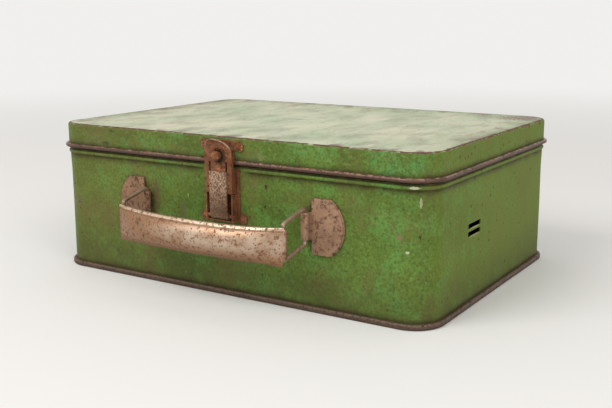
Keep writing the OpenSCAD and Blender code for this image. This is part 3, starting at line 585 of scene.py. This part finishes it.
def softened(solid, width):
    """Copy of a solid: doubles merged, flat triangles joined, and sharp edges bevelled by width."""
    mesh = frame["nodes"][solid].data.copy()
    work = bmesh.new()
    work.from_mesh(mesh)
    bmesh.ops.remove_doubles(work, verts=work.verts, dist=SOLID_WELD * MM)
    bmesh.ops.dissolve_limit(work, angle_limit=math.radians(FLAT_DEG), verts=work.verts, edges=work.edges)
    work.to_mesh(mesh)
    work.free()
    copy = placed(solid + "_worn", mesh)
    bevel = copy.modifiers.new("worn edges", "BEVEL")
    bevel.width, bevel.segments = width * MM, 2
    bevel.limit_method, bevel.angle_limit = "ANGLE", math.radians(BEVEL_DEG)
    bevel.use_clamp_overlap = True
    applied(copy)
    smooth(copy.data, SMOOTH_DEG)
    return copy


SOFT_EDGES = {
    "left_handle_plate": 0.2, "right_handle_plate": 0.2, "latch_body_plate": 0.2, "hasp_lever": 0.22,
    "hasp_strap": 0.18, "keeper_plate": 0.2, "left_hinge_body_leaf": 0.2, "right_hinge_body_leaf": 0.2,
    "left_hinge_lid_leaf": 0.2, "right_hinge_lid_leaf": 0.2, "latch_pivot_pin": 0.15,
}
fittings = {solid: softened(solid, width) for solid, width in SOFT_EDGES.items()}
for solid, piece in fittings.items():
    print(solid, "softened:", len(piece.data.polygons), "faces")

# %% [markdown]
# ## Node helpers
# The finishes are all built from nodes. Written out in full, a node tree fills pages, so a few
# small helpers keep it readable. A socket knows the tree that it belongs to, so a helper that is
# given a linked value can tell by itself where its new node goes.

# %% Helpers: nodes
def is_socket(value):
    """True for a node's output, false for a plain value."""
    return isinstance(value, bpy.types.NodeSocket)


def node(tree, kind, inputs=None, **settings):
    """One node; an input is a plain value, or another node's output, which is then linked."""
    made = tree.nodes.new(kind)
    for key, value in settings.items():
        setattr(made, key, value)
    for key, value in (inputs or {}).items():
        if is_socket(value):
            tree.links.new(value, made.inputs[key])
        else:
            made.inputs[key].default_value = value
    return made


def maths(operation, *values):
    """Math node with its values in order; at least one of them is a socket."""
    tree = next(value for value in values if is_socket(value)).id_data
    return node(tree, "ShaderNodeMath", dict(enumerate(values)), operation=operation).outputs[0]


plus, minus, times, over, larger = (
    partial(maths, operation) for operation in ("ADD", "SUBTRACT", "MULTIPLY", "DIVIDE", "MAXIMUM"))


def shifted(base, mask, by):
    """base + by * mask."""
    return plus(base, times(mask, by))


def vector_maths(operation, first, second):
    """Vector Math node on two vectors; the first is a socket."""
    return node(first.id_data, "ShaderNodeVectorMath", {0: first, 1: second}, operation=operation).outputs[0]


def length(vector):
    """Length of a vector."""
    return node(vector.id_data, "ShaderNodeVectorMath", {0: vector}, operation="LENGTH").outputs[1]


def parts(vector):
    """The X, Y and Z of a vector."""
    return node(vector.id_data, "ShaderNodeSeparateXYZ", {0: vector}).outputs


def noise(vector, scale, detail, roughness=0.5):
    """Noise node; its first output is a number and its second a colour."""
    inputs = {"Vector": vector, "Scale": scale, "Detail": detail, "Roughness": roughness}
    return node(vector.id_data, "ShaderNodeTexNoise", inputs).outputs


def mixed(share, first, second):
    """Colour that goes from first to second with share."""
    first, second = (value if is_socket(value) else (*value, 1) for value in (first, second))
    return node(share.id_data, "ShaderNodeMix", {0: share, 6: first, 7: second}, data_type="RGBA").outputs[2]


def coated(colour, mask, strength, coat):
    """The colour with a coat over it, as strong as mask * strength."""
    return mixed(times(mask, strength), colour, coat)


def ramped(value, low, high):
    """0 below low, 1 above high, smooth between."""
    return node(value.id_data, "ShaderNodeMapRange", {"Value": value, "From Min": low, "From Max": high},
                interpolation_type="SMOOTHSTEP").outputs["Result"]


# %% [markdown]
# ## Shared effects
# Old finishes fail in a few ways only: blotches where the coat has changed, round pits where rust
# breaks through, bare metal along edges, and single marks from knocks. Each is one group that puts
# out a mask, so that every material can place it with its own numbers. Blotches stretched along
# one axis also serve as streaks and scratches.

# %% Helpers: groups
def new_group(name, **inputs):
    """Empty node group with a Vector and the named inputs, and with a Mask as its output. Returns the
    tree and the sockets that bring the inputs in."""
    tree = bpy.data.node_groups.new(name, "ShaderNodeTree")
    for label, value in {"Vector": (0, 0, 0), **inputs}.items():
        kind = "NodeSocketVector" if isinstance(value, tuple) else "NodeSocketFloat"
        socket = tree.interface.new_socket(name=label, in_out="INPUT", socket_type=kind)
        socket.default_value = value
    tree.interface.new_socket(name="Mask", in_out="OUTPUT", socket_type="NodeSocketFloat")
    return tree, tree.nodes.new("NodeGroupInput").outputs


def put_out(mask):
    """Makes a value the mask that its group puts out."""
    tree = mask.id_data
    tree.links.new(mask, tree.nodes.new("NodeGroupOutput").inputs["Mask"])


def use(shared, where, **inputs):
    """Places a shared group in the tree of the coordinates that it reads, and returns its mask."""
    return node(where.id_data, "ShaderNodeGroup", {"Vector": where, **inputs}, node_tree=shared).outputs[0]


# %% Blotches
blotches, given = new_group("blotches", Stretch=(1, 1, 1), Scale=100.0, Detail=3.0, Level=0.5, Softness=0.1)
stretched = vector_maths("MULTIPLY", given["Vector"], given["Stretch"])
cloud = noise(stretched, given["Scale"], given["Detail"], 0.6)[0]
put_out(ramped(cloud, minus(given["Level"], given["Softness"]), plus(given["Level"], given["Softness"])))

# %% Pits
RAGGED_PIT, SMALLEST_PIT = 0.25, 0.35
pits, given = new_group("pits", Scale=300.0, Size=0.3, Share=0.3)
wobble = {0: noise(given["Vector"], 900.0, 2.0)[1], 3: over(RAGGED_PIT, given["Scale"])}
wobble = node(pits, "ShaderNodeVectorMath", wobble, operation="SCALE").outputs[0]
bent = vector_maths("ADD", given["Vector"], wobble)
cells = node(pits, "ShaderNodeTexVoronoi", {"Vector": bent, "Scale": given["Scale"]}).outputs
luck = node(pits, "ShaderNodeSeparateColor", {0: cells["Color"]}).outputs
chosen = maths("LESS_THAN", luck[0], given["Share"])
pit_size = times(given["Size"], plus(SMALLEST_PIT, luck[1]))
put_out(times(ramped(over(cells["Distance"], pit_size), 1.0, 0.6), chosen))

# %% Worn edges
edge_wear, given = new_group("edge_wear", Edge=0.0, Scale=250.0, Amount=0.5)
grain = noise(given["Vector"], given["Scale"], 4.0)[0]
put_out(ramped(plus(grain, times(given["Edge"], given["Amount"])), 0.72, 0.86))

# %% Single marks
mark, given = new_group("mark", Place=(0, 0, 0), Size=(0.001, 0.001, 0.001), Ragged=0.5)
far = length(vector_maths("DIVIDE", vector_maths("SUBTRACT", given["Vector"], given["Place"]), given["Size"]))
torn = times(minus(noise(given["Vector"], 700.0, 3.0)[0], 0.5), times(given["Ragged"], 3.0))
put_out(ramped(plus(far, torn), 1.0, 0.7))


def marked(where, place, size, ragged):
    """Mask of one mark; its place and half axes are in millimetres."""
    return use(mark, where, Place=Vector(place) * MM, Size=Vector(size) * MM, Ragged=ragged)


print("shared groups:", [shared.name for shared in (blotches, pits, edge_wear, mark)])

# %% Helpers: start and end of a material
BUMP_STRENGTH = 0.6


def new_material(name, **plain):
    """Material with a Principled shader; returns it, the shader, object coordinates and a reader of
    attributes. A plain value goes to the shader's own socket."""
    material = bpy.data.materials.new(name)
    material.use_nodes = True
    tree = material.node_tree
    shader = tree.nodes["Principled BSDF"]
    for key, value in plain.items():
        shader.inputs[key.replace("_", " ")].default_value = value

    def stored(key):
        return node(tree, "ShaderNodeAttribute", attribute_name=key).outputs["Fac"]
    return material, shader, node(tree, "ShaderNodeTexCoord").outputs["Object"], stored


def finish(shader, colour, roughness, metallic, height, bump_mm):
    """Links the channels; height is a mask that stands bump_mm high."""
    tree = shader.id_data
    bump = {"Height": height, "Distance": bump_mm * MM, "Strength": BUMP_STRENGTH}
    channels = {"Base Color": colour, "Roughness": roughness, "Metallic": metallic,
                "Normal": node(tree, "ShaderNodeBump", bump).outputs[0]}
    for channel, value in channels.items():
        tree.links.new(value, shader.inputs[channel])


# %% [markdown]
# ## The green paint
# The paint was one flat green once. It has mottled in the sun, grown olive on the right side, gone
# pale and dusty on top and worn through along the lid's edge. The pale top is partly a painted
# reflection of the white wall. The dark under the lid's rolled edge, under the bead and round the
# handle plates is painted shade, and the pale lines under the slots are partly painted highlight.
# Each of these is one layer of colour laid over the last with its own mask, from the paint itself
# up to the rust that breaks through.
# Inside, the sheet was never painted, so it shows dull grey tin.

# %% Colours of the paint
GREEN_DEEP, GREEN = (0.088, 0.140, 0.024), (0.132, 0.210, 0.036)
GREEN_BRIGHT, GREEN_COOL = (0.115, 0.285, 0.060), (0.100, 0.280, 0.078)
OLIVE, BROWN_STAIN, LEFT_BROWN = (0.132, 0.164, 0.012), (0.150, 0.098, 0.042), (0.135, 0.092, 0.030)
# Pale colours of the lid's top: faded, dusty paint and a painted reflection of the white wall.
FADED_SHEEN_CREAM, FADED_SHEEN_MINT = (0.640, 0.625, 0.450), (0.455, 0.560, 0.335)
PALE_FLECK, DARK_MOTTLE = (0.180, 0.290, 0.085), (0.060, 0.078, 0.018)
RUST_DARK, RUST, RUST_RED = (0.045, 0.022, 0.014), (0.105, 0.054, 0.034), (0.165, 0.096, 0.070)
DARK_DIRT_AND_SHADE, SPLASHED, PLATE_SHADOW = (0.036, 0.025, 0.009), (0.058, 0.054, 0.020), (0.062, 0.048, 0.018)
PALE_CHIP, SLOT_CHIP_AND_HIGHLIGHT = (0.500, 0.500, 0.330), (0.420, 0.370, 0.190)
TIN, TIN_DARK = (0.330, 0.320, 0.290), (0.240, 0.220, 0.190)

# %% Marks on the paint
HALO, HALO_DEEP = 2.2, 3.0


def halo_of(side):
    """Middle and half axes of an ellipse of painted contact shadow on the wall that stands out from behind a
    handle plate.
    """
    low, high = solid_box(side + "_handle_plate")
    middle, half = (low + high) / 2, (high - low) / 2 + HALO
    return (middle[0], FRONT_Y - WALL_OUT, middle[2]), (half[0], HALO_DEEP, half[2])


# Each mark has a name, a place and half axes in millimetres, a raggedness and a colour.
SEEN_MARKS = (
    ("pale chip", (114.2, -75.1, 39.9), (1.2, 1.5, 0.8), 0.4, PALE_CHIP),
    ("pink patch", (109.6, -75.1, 47.4), (1.7, 2.0, 1.7), 1.1, (0.210, 0.140, 0.080)),
    ("bead chip", (117.3, -74.4, 72.4), (3.0, 2.0, 0.8), 0.5, PALE_CHIP),
    ("drip", (119.7, -72.1, 65.0), (0.75, 2.0, 3.4), 0.6, (0.360, 0.340, 0.210)),
    # Pale lines under the two slots: chipped cut edges with a painted highlight on them.
    ("lower slot edge", (126.3, -18.6, 38.75), (1.5, 8.6, 0.32), 0.25, SLOT_CHIP_AND_HIGHLIGHT),
    ("upper slot edge", (126.3, -18.6, 43.05), (1.5, 8.6, 0.32), 0.25, SLOT_CHIP_AND_HIGHLIGHT),
    ("rust spot", (30.1, -75.1, 64.5), (1.1, 1.0, 1.5), 0.5, RUST_DARK),
    ("small rust spot", (29.2, -75.1, 53.5), (0.9, 1.0, 0.9), 0.5, RUST_DARK),
    ("star scratch", (-24.1, -75.1, 54.4), (0.5, 1.0, 2.4), 0.9, (0.280, 0.340, 0.120)),
    ("left smudge", (-85.6, -75.8, 79.7), (3.6, 2.0, 1.3), 0.8, (0.060, 0.062, 0.030)),
    ("upper left smudge", (-81.0, -75.8, 87.2), (2.6, 2.0, 1.0), 0.8, (0.070, 0.060, 0.035)),
    ("stain by the plate", (-48.6, -75.1, 51.0), (3.4, 2.0, 11.0), 0.9, (0.120, 0.092, 0.042)),
    ("smear", (-27.5, -75.1, 44.0), (1.6, 2.0, 5.5), 1.0, (0.120, 0.115, 0.060)),
    ("left end smear", (-112.0, -75.1, 42.0), (2.2, 2.0, 3.2), 1.0, (0.130, 0.105, 0.070)),
    ("keeper scratches", (27.7, -75.8, 80.5), (2.6, 2.0, 2.4), 1.2, (0.150, 0.185, 0.070)),
    ("brown corner", (111.0, 88.0, 89.6), (15.0, 12.0, 2.0), 1.1, BROWN_STAIN),
    # The last two marks are painted contact shadow on the wall round the handle plates.
    ("grime round the left plate", *halo_of("left"), 0.2, PLATE_SHADOW),
    ("grime round the right plate", *halo_of("right"), 0.2, PLATE_SHADOW),
)
print("marks:", ", ".join(row[0] for row in SEEN_MARKS))

# %% Masks of the paint
ALL_WAYS = (1, 1, 1)
PAINT_BLOTCHES = {
    # name: (stretch, scale, detail, level, softness)
    "deeper": (ALL_WAYS, 26, 4, 0.50, 0.16),
    "brighter": (ALL_WAYS, 70, 5, 0.57, 0.12),
    "mottled": (ALL_WAYS, 650, 5, 0.53, 0.10),
    "flecked": (ALL_WAYS, 520, 3, 0.62, 0.08),
    "brownish": (ALL_WAYS, 42, 8, 0.57, 0.09),
    "brushed": ((1, 1, 0.12), 900, 2, 0.50, 0.30),
    "dust_and_sheen": ((1, 0.5, 1), 32, 5, 0.45, 0.20),
    "rubbed": ((1, 0.4, 1), 85, 8, 0.56, 0.10),
    "stained": ((1, 0.5, 1), 80, 8, 0.55, 0.08),
    "dirt_and_shade_patches": (ALL_WAYS, 120, 4, 0.42, 0.22),
    "fine": (ALL_WAYS, 1500, 3, 0.50, 0.35),
}
paint, shader, where, stored = new_material("worn_green_paint", Specular_IOR_Level=0.10)
x, y, z = parts(where)
top, border, inside = stored("top"), stored("border"), stored("inside")
blotch = {
    name: use(blotches, where, Stretch=stretch, Scale=scale, Detail=detail, Level=level, Softness=softness)
    for name, (stretch, scale, detail, level, softness) in PAINT_BLOTCHES.items()
}
rust_spots = use(pits, where, Scale=75.0, Size=0.09, Share=0.16)
fine_spots = use(pits, where, Scale=260.0, Size=0.24, Share=0.17)
spots = larger(rust_spots, times(fine_spots, 0.6))
worn = use(edge_wear, where, Edge=stored("edge"), Scale=330.0, Amount=0.44)
bare = larger(worn, spots)
print("masks of the paint:", ", ".join(blotch), "and rust")

# %% The paint itself
colour = mixed(blotch["deeper"], GREEN_DEEP, GREEN)
on_lid = ramped(z, 0.0740, 0.0755)
colour = coated(colour, blotch["brighter"], 0.85, mixed(on_lid, GREEN_BRIGHT, GREEN_COOL))
colour = coated(colour, blotch["mottled"], 0.62, DARK_MOTTLE)
colour = coated(colour, blotch["flecked"], 0.6, PALE_FLECK)
colour = coated(colour, blotch["brownish"], 0.48, BROWN_STAIN)
left_half = ramped(x, 0.02, -0.11)
colour = coated(colour, left_half, 0.35, LEFT_BROWN)
right_side, rearward = ramped(x, 0.1225, 0.1262), ramped(y, -0.075, 0.03)
colour = mixed(times(right_side, shifted(0.40, rearward, 0.3)), colour, OLIVE)
colour = coated(colour, blotch["brushed"], 0.22, GREEN_DEEP)

# %% The pale top: fading, dust and a painted reflection
# The paleness of the top is partly fading and dust and partly a painted reflection of the white wall.
fade_and_sheen = shifted(0.70, blotch["dust_and_sheen"], 0.25)
fade_and_sheen = shifted(fade_and_sheen, blotch["rubbed"], -0.22)
fade_and_sheen = shifted(fade_and_sheen, blotch["mottled"], -0.10)
behind_front = ramped(y, -0.070, -0.030)
fade_and_sheen = minus(fade_and_sheen, times(times(border, behind_front), 0.55))
colour = mixed(times(top, fade_and_sheen), colour, mixed(blotch["dust_and_sheen"], FADED_SHEEN_MINT, FADED_SHEEN_CREAM))
by_border = times(blotch["stained"], shifted(times(border, 0.9), top, 0.24))
colour = mixed(by_border, colour, BROWN_STAIN)

# %% Dirt and painted shade, marks and rust
# The stored darkening is dirt and painted shade: painted shade under the lid's rolled edge and under the
# bead, and darker by the seam and on the skirt above the roll.
colour = mixed(times(stored("grime"), shifted(0.45, blotch["dirt_and_shade_patches"], 0.5)), colour, DARK_DIRT_AND_SHADE)
low_down = ramped(z, 0.034, 0.002)
colour = mixed(times(low_down, shifted(0.22, blotch["dirt_and_shade_patches"], 0.33)), colour, SPLASHED)
for label, place, size, ragged, mark_colour in SEEN_MARKS:
    colour = coated(colour, marked(where, place, size, ragged), 0.85, mark_colour)
colour = coated(colour, spots, 0.8, RUST_DARK)
colour = mixed(worn, colour, mixed(blotch["brushed"], RUST_RED, RUST))
colour = mixed(inside, colour, mixed(blotch["brighter"], TIN, TIN_DARK))

# %% Gloss and grain of the paint
roughness = minus(0.46, times(top, shifted(0.16, blotch["dust_and_sheen"], -0.08)))
roughness = shifted(roughness, bare, 0.35)
roughness = shifted(shifted(roughness, blotch["fine"], 0.05), inside, 0.15)
height = minus(times(blotch["fine"], 0.25), bare)
finish(shader, colour, roughness, times(inside, 0.5), height, 0.05)
print("paint nodes:", len(paint.node_tree.nodes))

# %% [markdown]
# ## Aged metal
# Everything else is steel that was nickelled or left bare, at different stages of rusting. One
# function makes them all: a metal colour with soft stains, rust that eats in from a level of
# noise, dark pits, brighter rubbed edges and dirt in the low places. Some of it is painted light:
# a highlight on the top of the lid's roll and on the hasp's lip, shade under the roll and round
# the knob, and the brown table reflected in the grip. The numbers tell them apart.

# %% Helper: a rubbed lip with a painted highlight
def lip_wear_and_highlight(where, place, radius):
    """1 in a thin band at a radius round the place, seen from the front, and only above the place."""
    # The band is a painted highlight along the edge of the hasp's lip, where the metal is also rubbed.
    away = vector_maths("SUBTRACT", where, Vector(place) * MM)
    far = length(vector_maths("MULTIPLY", away, (1, 0, 1)))
    band = ramped(far, (radius - 0.55) * MM, (radius - 0.2) * MM)
    return times(band, ramped(parts(away)[2], 2 * MM, 6 * MM))


def shade(colour, by):
    """Darker colour: each of its numbers times by."""
    return tuple(value * by for value in colour)


# %% Helper: aged metal
DARK_RUST, FRESH_RUST, LIP_HIGHLIGHT = (0.048, 0.020, 0.011), (0.450, 0.170, 0.040), (0.500, 0.370, 0.270)


def aged_metal(name, bright, stain, rust, levels, dark=DARK_RUST, pit_scale=420.0, metal=0.8, rough=0.42,
               rust_scale=160.0, orange=0.0, gloss=0.5, wear=0.45, shine=1.3,
               rim=None, foot=None, orange_at=None, shade_at=None):
    """Metal with stain, rust and pits. levels are the levels of stain and rust, of which a higher one
    leaves less, and the share of pits.

    wear is how much of an edge is rubbed, and shine how much brighter that is; a high shine makes
    the rubbed edge a painted highlight. rim is the place and radius of a rubbed lip with a painted
    highlight. foot is two heights between which the colour darkens downwards. orange_at and
    shade_at are each a place and a size, of fresh rust and of painted shade in a hollow."""
    stain_level, rust_level, pit_share = levels
    material, shader, where, stored = new_material(name, Specular_IOR_Level=gloss)
    stains_and_reflection = use(blotches, where, Scale=60.0, Detail=5.0, Level=stain_level, Softness=0.15)
    # The grip's stored tarnish also holds a painted reflection of the brown table on its lower half.
    stains_and_reflection = larger(stains_and_reflection, stored("tarnish"))
    colour = mixed(stains_and_reflection, bright, stain)
    # With a high shine the rubbed edge is a painted highlight as well as wear, as on the top of the lid's
    # roll.
    rubbed = use(edge_wear, where, Edge=stored("edge"), Scale=300.0, Amount=wear)
    colour = coated(colour, rubbed, 0.7, tuple(min(value * shine, 0.8) for value in bright))
    rusted = use(blotches, where, Scale=rust_scale, Detail=6.0, Level=rust_level, Softness=0.07)
    colour = mixed(rusted, colour, mixed(stains_and_reflection, rust, shade(rust, 0.6)))
    glow = use(pits, where, Scale=450.0, Size=0.4, Share=orange)
    if orange_at:
        glow = times(glow, marked(where, *orange_at, 0.1))
    colour = coated(colour, glow, 0.8, FRESH_RUST)
    pitted = use(pits, where, Scale=pit_scale, Size=0.42, Share=pit_share)
    colour = coated(colour, pitted, 0.85, dark)
    # The stored darkening is dirt and painted shade, such as the shade under the lid's rolled edge, and the
    # darker foot and groove of the grip.
    low_dirt_and_shade = times(stored("grime"), 0.75)
    if foot:
        sunk = ramped(parts(where)[2], foot[1] * MM, foot[0] * MM)
        low_dirt_and_shade = times(sunk, shifted(0.65, stains_and_reflection, 0.3))
    colour = mixed(low_dirt_and_shade, colour, shade(rust, 0.7))
    # A dark mark round the knob: painted shade in the hollow of the hasp.
    if shade_at:
        colour = coated(colour, marked(where, *shade_at, 0.35), 0.75, shade(dark, 0.8))
    if rim:
        # Painted highlight along the lip's edge, weaker where rust has eaten in.
        colour = mixed(times(lip_wear_and_highlight(where, *rim), shifted(0.85, rusted, -0.4)), colour, LIP_HIGHLIGHT)
    dull = larger(larger(rusted, pitted), low_dirt_and_shade)
    fine = use(blotches, where, Scale=1700.0, Detail=3.0, Level=0.5, Softness=0.35)
    metallic = times(shifted(1.0, dull, -0.85), metal)
    roughness = shifted(shifted(rough, dull, 0.35), fine, 0.08)
    height = minus(shifted(times(rusted, 0.5), fine, 0.35), pitted)
    finish(shader, colour, roughness, metallic, height, 0.08)
    return material


# %% Nickel
PLATING = dict(pit_scale=900.0, rust_scale=420.0, metal=0.4, rough=0.5, gloss=0.35)
# The grip's stain colour also paints in the brown table reflected in its lower half.
worn_nickel = aged_metal(
    "worn_nickel", (0.510, 0.390, 0.290), (0.310, 0.165, 0.085), (0.210, 0.095, 0.040),
    levels=(0.51, 0.58, 0.34), dark=(0.120, 0.052, 0.024), pit_scale=850.0, rust_scale=420.0,
    metal=0.7, rough=0.30, orange=0.55, orange_at=((47.5, -98.5, 44.0), (5.5, 7.0, 3.6)))
plate_nickel = aged_metal(
    "dull_nickel", (0.360, 0.215, 0.132), (0.230, 0.132, 0.078), (0.150, 0.072, 0.040),
    levels=(0.50, 0.57, 0.28), **PLATING)
brown_nickel = aged_metal(
    "browned_nickel", (0.285, 0.160, 0.088), (0.190, 0.105, 0.056), (0.130, 0.062, 0.032),
    levels=(0.50, 0.56, 0.32), **PLATING)
pitted_nickel = aged_metal(
    "pitted_strap", (0.420, 0.300, 0.205), (0.280, 0.175, 0.105), (0.180, 0.088, 0.044),
    levels=(0.54, 0.51, 0.60), dark=(0.100, 0.048, 0.026), pit_scale=1000.0, rust_scale=900.0,
    metal=0.45, gloss=0.3, foot=(47, 62))
print("nickel finishes:", [metal.name for metal in (worn_nickel, plate_nickel, brown_nickel, pitted_nickel)])

# %% Bare steel
wire_steel = aged_metal(
    "link_wire", (0.400, 0.290, 0.205), (0.230, 0.145, 0.090), (0.160, 0.078, 0.040),
    levels=(0.48, 0.58, 0.12), metal=0.6, rough=0.34)
# The high shine turns the rubbed top of the roll into a painted highlight.
rolled_steel = aged_metal(
    "rolled_edge_steel", (0.155, 0.082, 0.056), (0.100, 0.050, 0.034), (0.080, 0.036, 0.024),
    levels=(0.46, 0.57, 0.05), rust_scale=700.0, metal=0.5, rough=0.32, wear=0.29, shine=3.0)
seam_steel = aged_metal(
    "base_seam_steel", (0.110, 0.074, 0.050), (0.085, 0.054, 0.036), (0.075, 0.040, 0.026),
    levels=(0.48, 0.57, 0.06), rust_scale=700.0, metal=0.35, rough=0.5, gloss=0.3)
dull_steel = aged_metal(
    "dull_steel", (0.300, 0.250, 0.210), (0.200, 0.150, 0.120), (0.140, 0.075, 0.045),
    levels=(0.50, 0.58, 0.10), metal=0.6, rough=0.45)
print("steel finishes:", [metal.name for metal in (wire_steel, rolled_steel, seam_steel, dull_steel)])

# %% Rusty steel of the latch
RUSTY = dict(bright=(0.310, 0.135, 0.062), stain=(0.150, 0.052, 0.022), rust=(0.215, 0.078, 0.028),
             levels=(0.48, 0.52, 0.50), pit_scale=800.0, rust_scale=320.0, metal=0.2, rough=0.54,
             orange=0.12, gloss=0.3)
LIP_MIDDLE, LIP_R = (FITTINGS_X, 0, 80.3), 9.3
# Place and size of the painted shade round the knob.
KNOB_SHADE_OFFSET, KNOB_SHADE_SIZE = np.array([1.0, 0, -0.2]), (6.2, 9.0, 5.2)
rusty_steel = aged_metal("rusty_latch", **RUSTY)
knob_middle = sum(solid_box("hasp_knob")) / 2
rusty_lip = aged_metal("rusty_latch_with_rubbed_lip", rim=(LIP_MIDDLE, LIP_R),
                       shade_at=(knob_middle + KNOB_SHADE_OFFSET, KNOB_SHADE_SIZE), **RUSTY)
hidden_rust = aged_metal(
    "shaded_rust", (0.060, 0.032, 0.020), (0.045, 0.024, 0.016), (0.040, 0.020, 0.012),
    levels=(0.50, 0.50, 0.10), metal=0.1, rough=0.8, gloss=0.2)
print("materials:", len(bpy.data.materials))

# %% [markdown]
# ## Which piece wears what
# A table is easier to check than twenty separate calls. Each new piece rides on its body and replaces
# the solid it was made from. The solids that are left only get a material.

# %% Tables
NEW_PIECES = (
    # piece, body, the solids that it stands for, material, the record's finish
    (body, "trunk", ["body_wall"], paint, "green_paint"),
    (base_seam, "trunk", ["base_pan"], seam_steel, "worn_steel"),
    (base_panel, "trunk", [], dull_steel, "worn_steel"),
    (lid_skin, "lid", ["lid_shell"], paint, "green_paint"),
    (rolled_edge, "lid", ["lid_rim_wire"], rolled_steel, "worn_steel"),
    (grip, "grip", ["handle_grip"], worn_nickel, "worn_nickel"),
    (left_wire, "left_link", ["left_link"], wire_steel, "dull_nickel"),
    (right_wire, "right_link", ["right_link"], wire_steel, "dull_nickel"),
)
FITTING_LOOKS = {
    "left_handle_plate": (brown_nickel, "dull_nickel"), "right_handle_plate": (plate_nickel, "dull_nickel"),
    "hasp_strap": (pitted_nickel, "worn_nickel"), "hasp_lever": (rusty_lip, "rusty_steel"),
    "latch_body_plate": (rusty_steel, "rusty_steel"), "latch_pivot_pin": (rusty_steel, "rusty_steel"),
    "keeper_plate": (rusty_steel, "rusty_steel"),
}
HINGE_LOOK = (dull_steel, "worn_steel")
SOLID_LOOKS = {
    "latch_body_rivets": rusty_steel, "keeper_rivets": rusty_steel, "hasp_knob": rusty_steel,
    "hasp_spring": hidden_rust, "hinge_body_rivets": dull_steel, "hinge_lid_rivets": dull_steel,
    "left_hinge_pin": dull_steel, "right_hinge_pin": dull_steel,
}
print("rows:", len(NEW_PIECES), "new pieces,", len(fittings), "fittings,", len(SOLID_LOOKS), "solids")


# %% Dressing
def cover(mesh, material):
    """Gives a mesh one material."""
    mesh.materials.clear()
    mesh.materials.append(material)


def dress(piece, rides_on, stands_for, material, finish_slot):
    """Gives a new piece its body, its solids and its material; finish_slot is not used."""
    cover(piece.data, material)
    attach(piece, rides_on)
    if stands_for:
        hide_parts(*stands_for)


for row in NEW_PIECES:
    dress(*row)
for solid, piece in fittings.items():
    dress(piece, frame["nodes"][solid]["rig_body"], [solid], *FITTING_LOOKS.get(solid, HINGE_LOOK))
for solid, material in SOLID_LOOKS.items():
    cover(frame["nodes"][solid].data, material)
print("new pieces:", len(NEW_PIECES) + len(fittings), "and solids with a new finish:", len(SOLID_LOOKS))

# %% [markdown]
# ## Floor and backdrop
# The trunk stands on a plain pale floor in front of a white studio wall. The wall could be a real
# sheet with a lamp on it, but its light would wash out the paint. Here the world stands for it. It
# looks white to the camera and in reflections, such as the pale one in the lid's top, and it
# lights the scene more softly than it looks. Far away the floor turns into the same white.

# %% Floor
WALL_WHITE, WALL_SEEN, WALL_MIRRORED, WALL_LIGHT = (1.0, 0.985, 0.965, 1), 0.88, 1.0, 0.60
FLOOR_PALE, FLOOR_HALF = (0.86, 0.845, 0.82, 1), 4.0
WALL_STARTS, WALL_FULL = 0.35, 1.50
floor_mesh = bpy.data.meshes.new("floor")
floor_corners = [(x * FLOOR_HALF, y * FLOOR_HALF, 0) for x, y in ((-1, -1), (1, -1), (1, 1), (-1, 1))]
floor_mesh.from_pydata(floor_corners, [], [(0, 1, 2, 3)])
floor = placed("floor", floor_mesh)
floor_material, shader, where, stored = new_material("pale_floor", Roughness=0.85, Base_Color=FLOOR_PALE)
tree = floor_material.node_tree
seen = node(tree, "ShaderNodeLightPath").outputs["Is Camera Ray"]
far_share = times(ramped(length(where), WALL_STARTS, WALL_FULL), seen)
white_wall = node(tree, "ShaderNodeEmission", {"Color": WALL_WHITE, "Strength": WALL_SEEN})
joined = node(tree, "ShaderNodeMixShader", {0: far_share, 1: shader.outputs[0], 2: white_wall.outputs[0]})
tree.links.new(joined.outputs[0], tree.nodes["Material Output"].inputs["Surface"])
cover(floor_mesh, floor_material)
print("floor:", 2 * FLOOR_HALF, "m wide, and all wall from", WALL_FULL, "m away")

# %% World
world = bpy.data.worlds.new("studio")
bpy.context.scene.world = world
world.use_nodes = True
tree = world.node_tree
ray = node(tree, "ShaderNodeLightPath").outputs
strength = shifted(WALL_LIGHT, ray["Is Camera Ray"], WALL_SEEN - WALL_LIGHT)
strength = shifted(strength, ray["Is Glossy Ray"], WALL_MIRRORED - WALL_LIGHT)
background = tree.nodes["Background"]
background.inputs["Color"].default_value = WALL_WHITE
tree.links.new(strength, background.inputs["Strength"])
print("the wall is", WALL_SEEN, "to the camera,", WALL_MIRRORED, "to mirrors and", WALL_LIGHT, "as light")

# %% [markdown]
# ## Light
# A small lamp would draw hard shadows that a studio doesn't have. One large lamp from the upper
# left models the front softly, and a weaker one opens the shadow on the right.

# %% Lamps
def soft_lamp(name, place, size, watts):
    """Square area lamp that points from its place to the middle of the trunk."""
    data = bpy.data.lights.new(name, "AREA")
    data.size, data.energy = size, watts
    turn_to = (Vector((0, 0, 0.05)) - Vector(place)).to_track_quat("-Z", "Y")
    placed(name, data).matrix_world = Matrix.Translation(place) @ turn_to.to_matrix().to_4x4()


soft_lamp("key", (-0.50, -1.15, 1.10), 0.9, 12)
soft_lamp("fill", (1.30, -0.75, 0.85), 1.0, 9)
bpy.context.scene.view_settings.view_transform = "Standard"
print("lamps:", [lamp.name for lamp in bpy.data.lights])
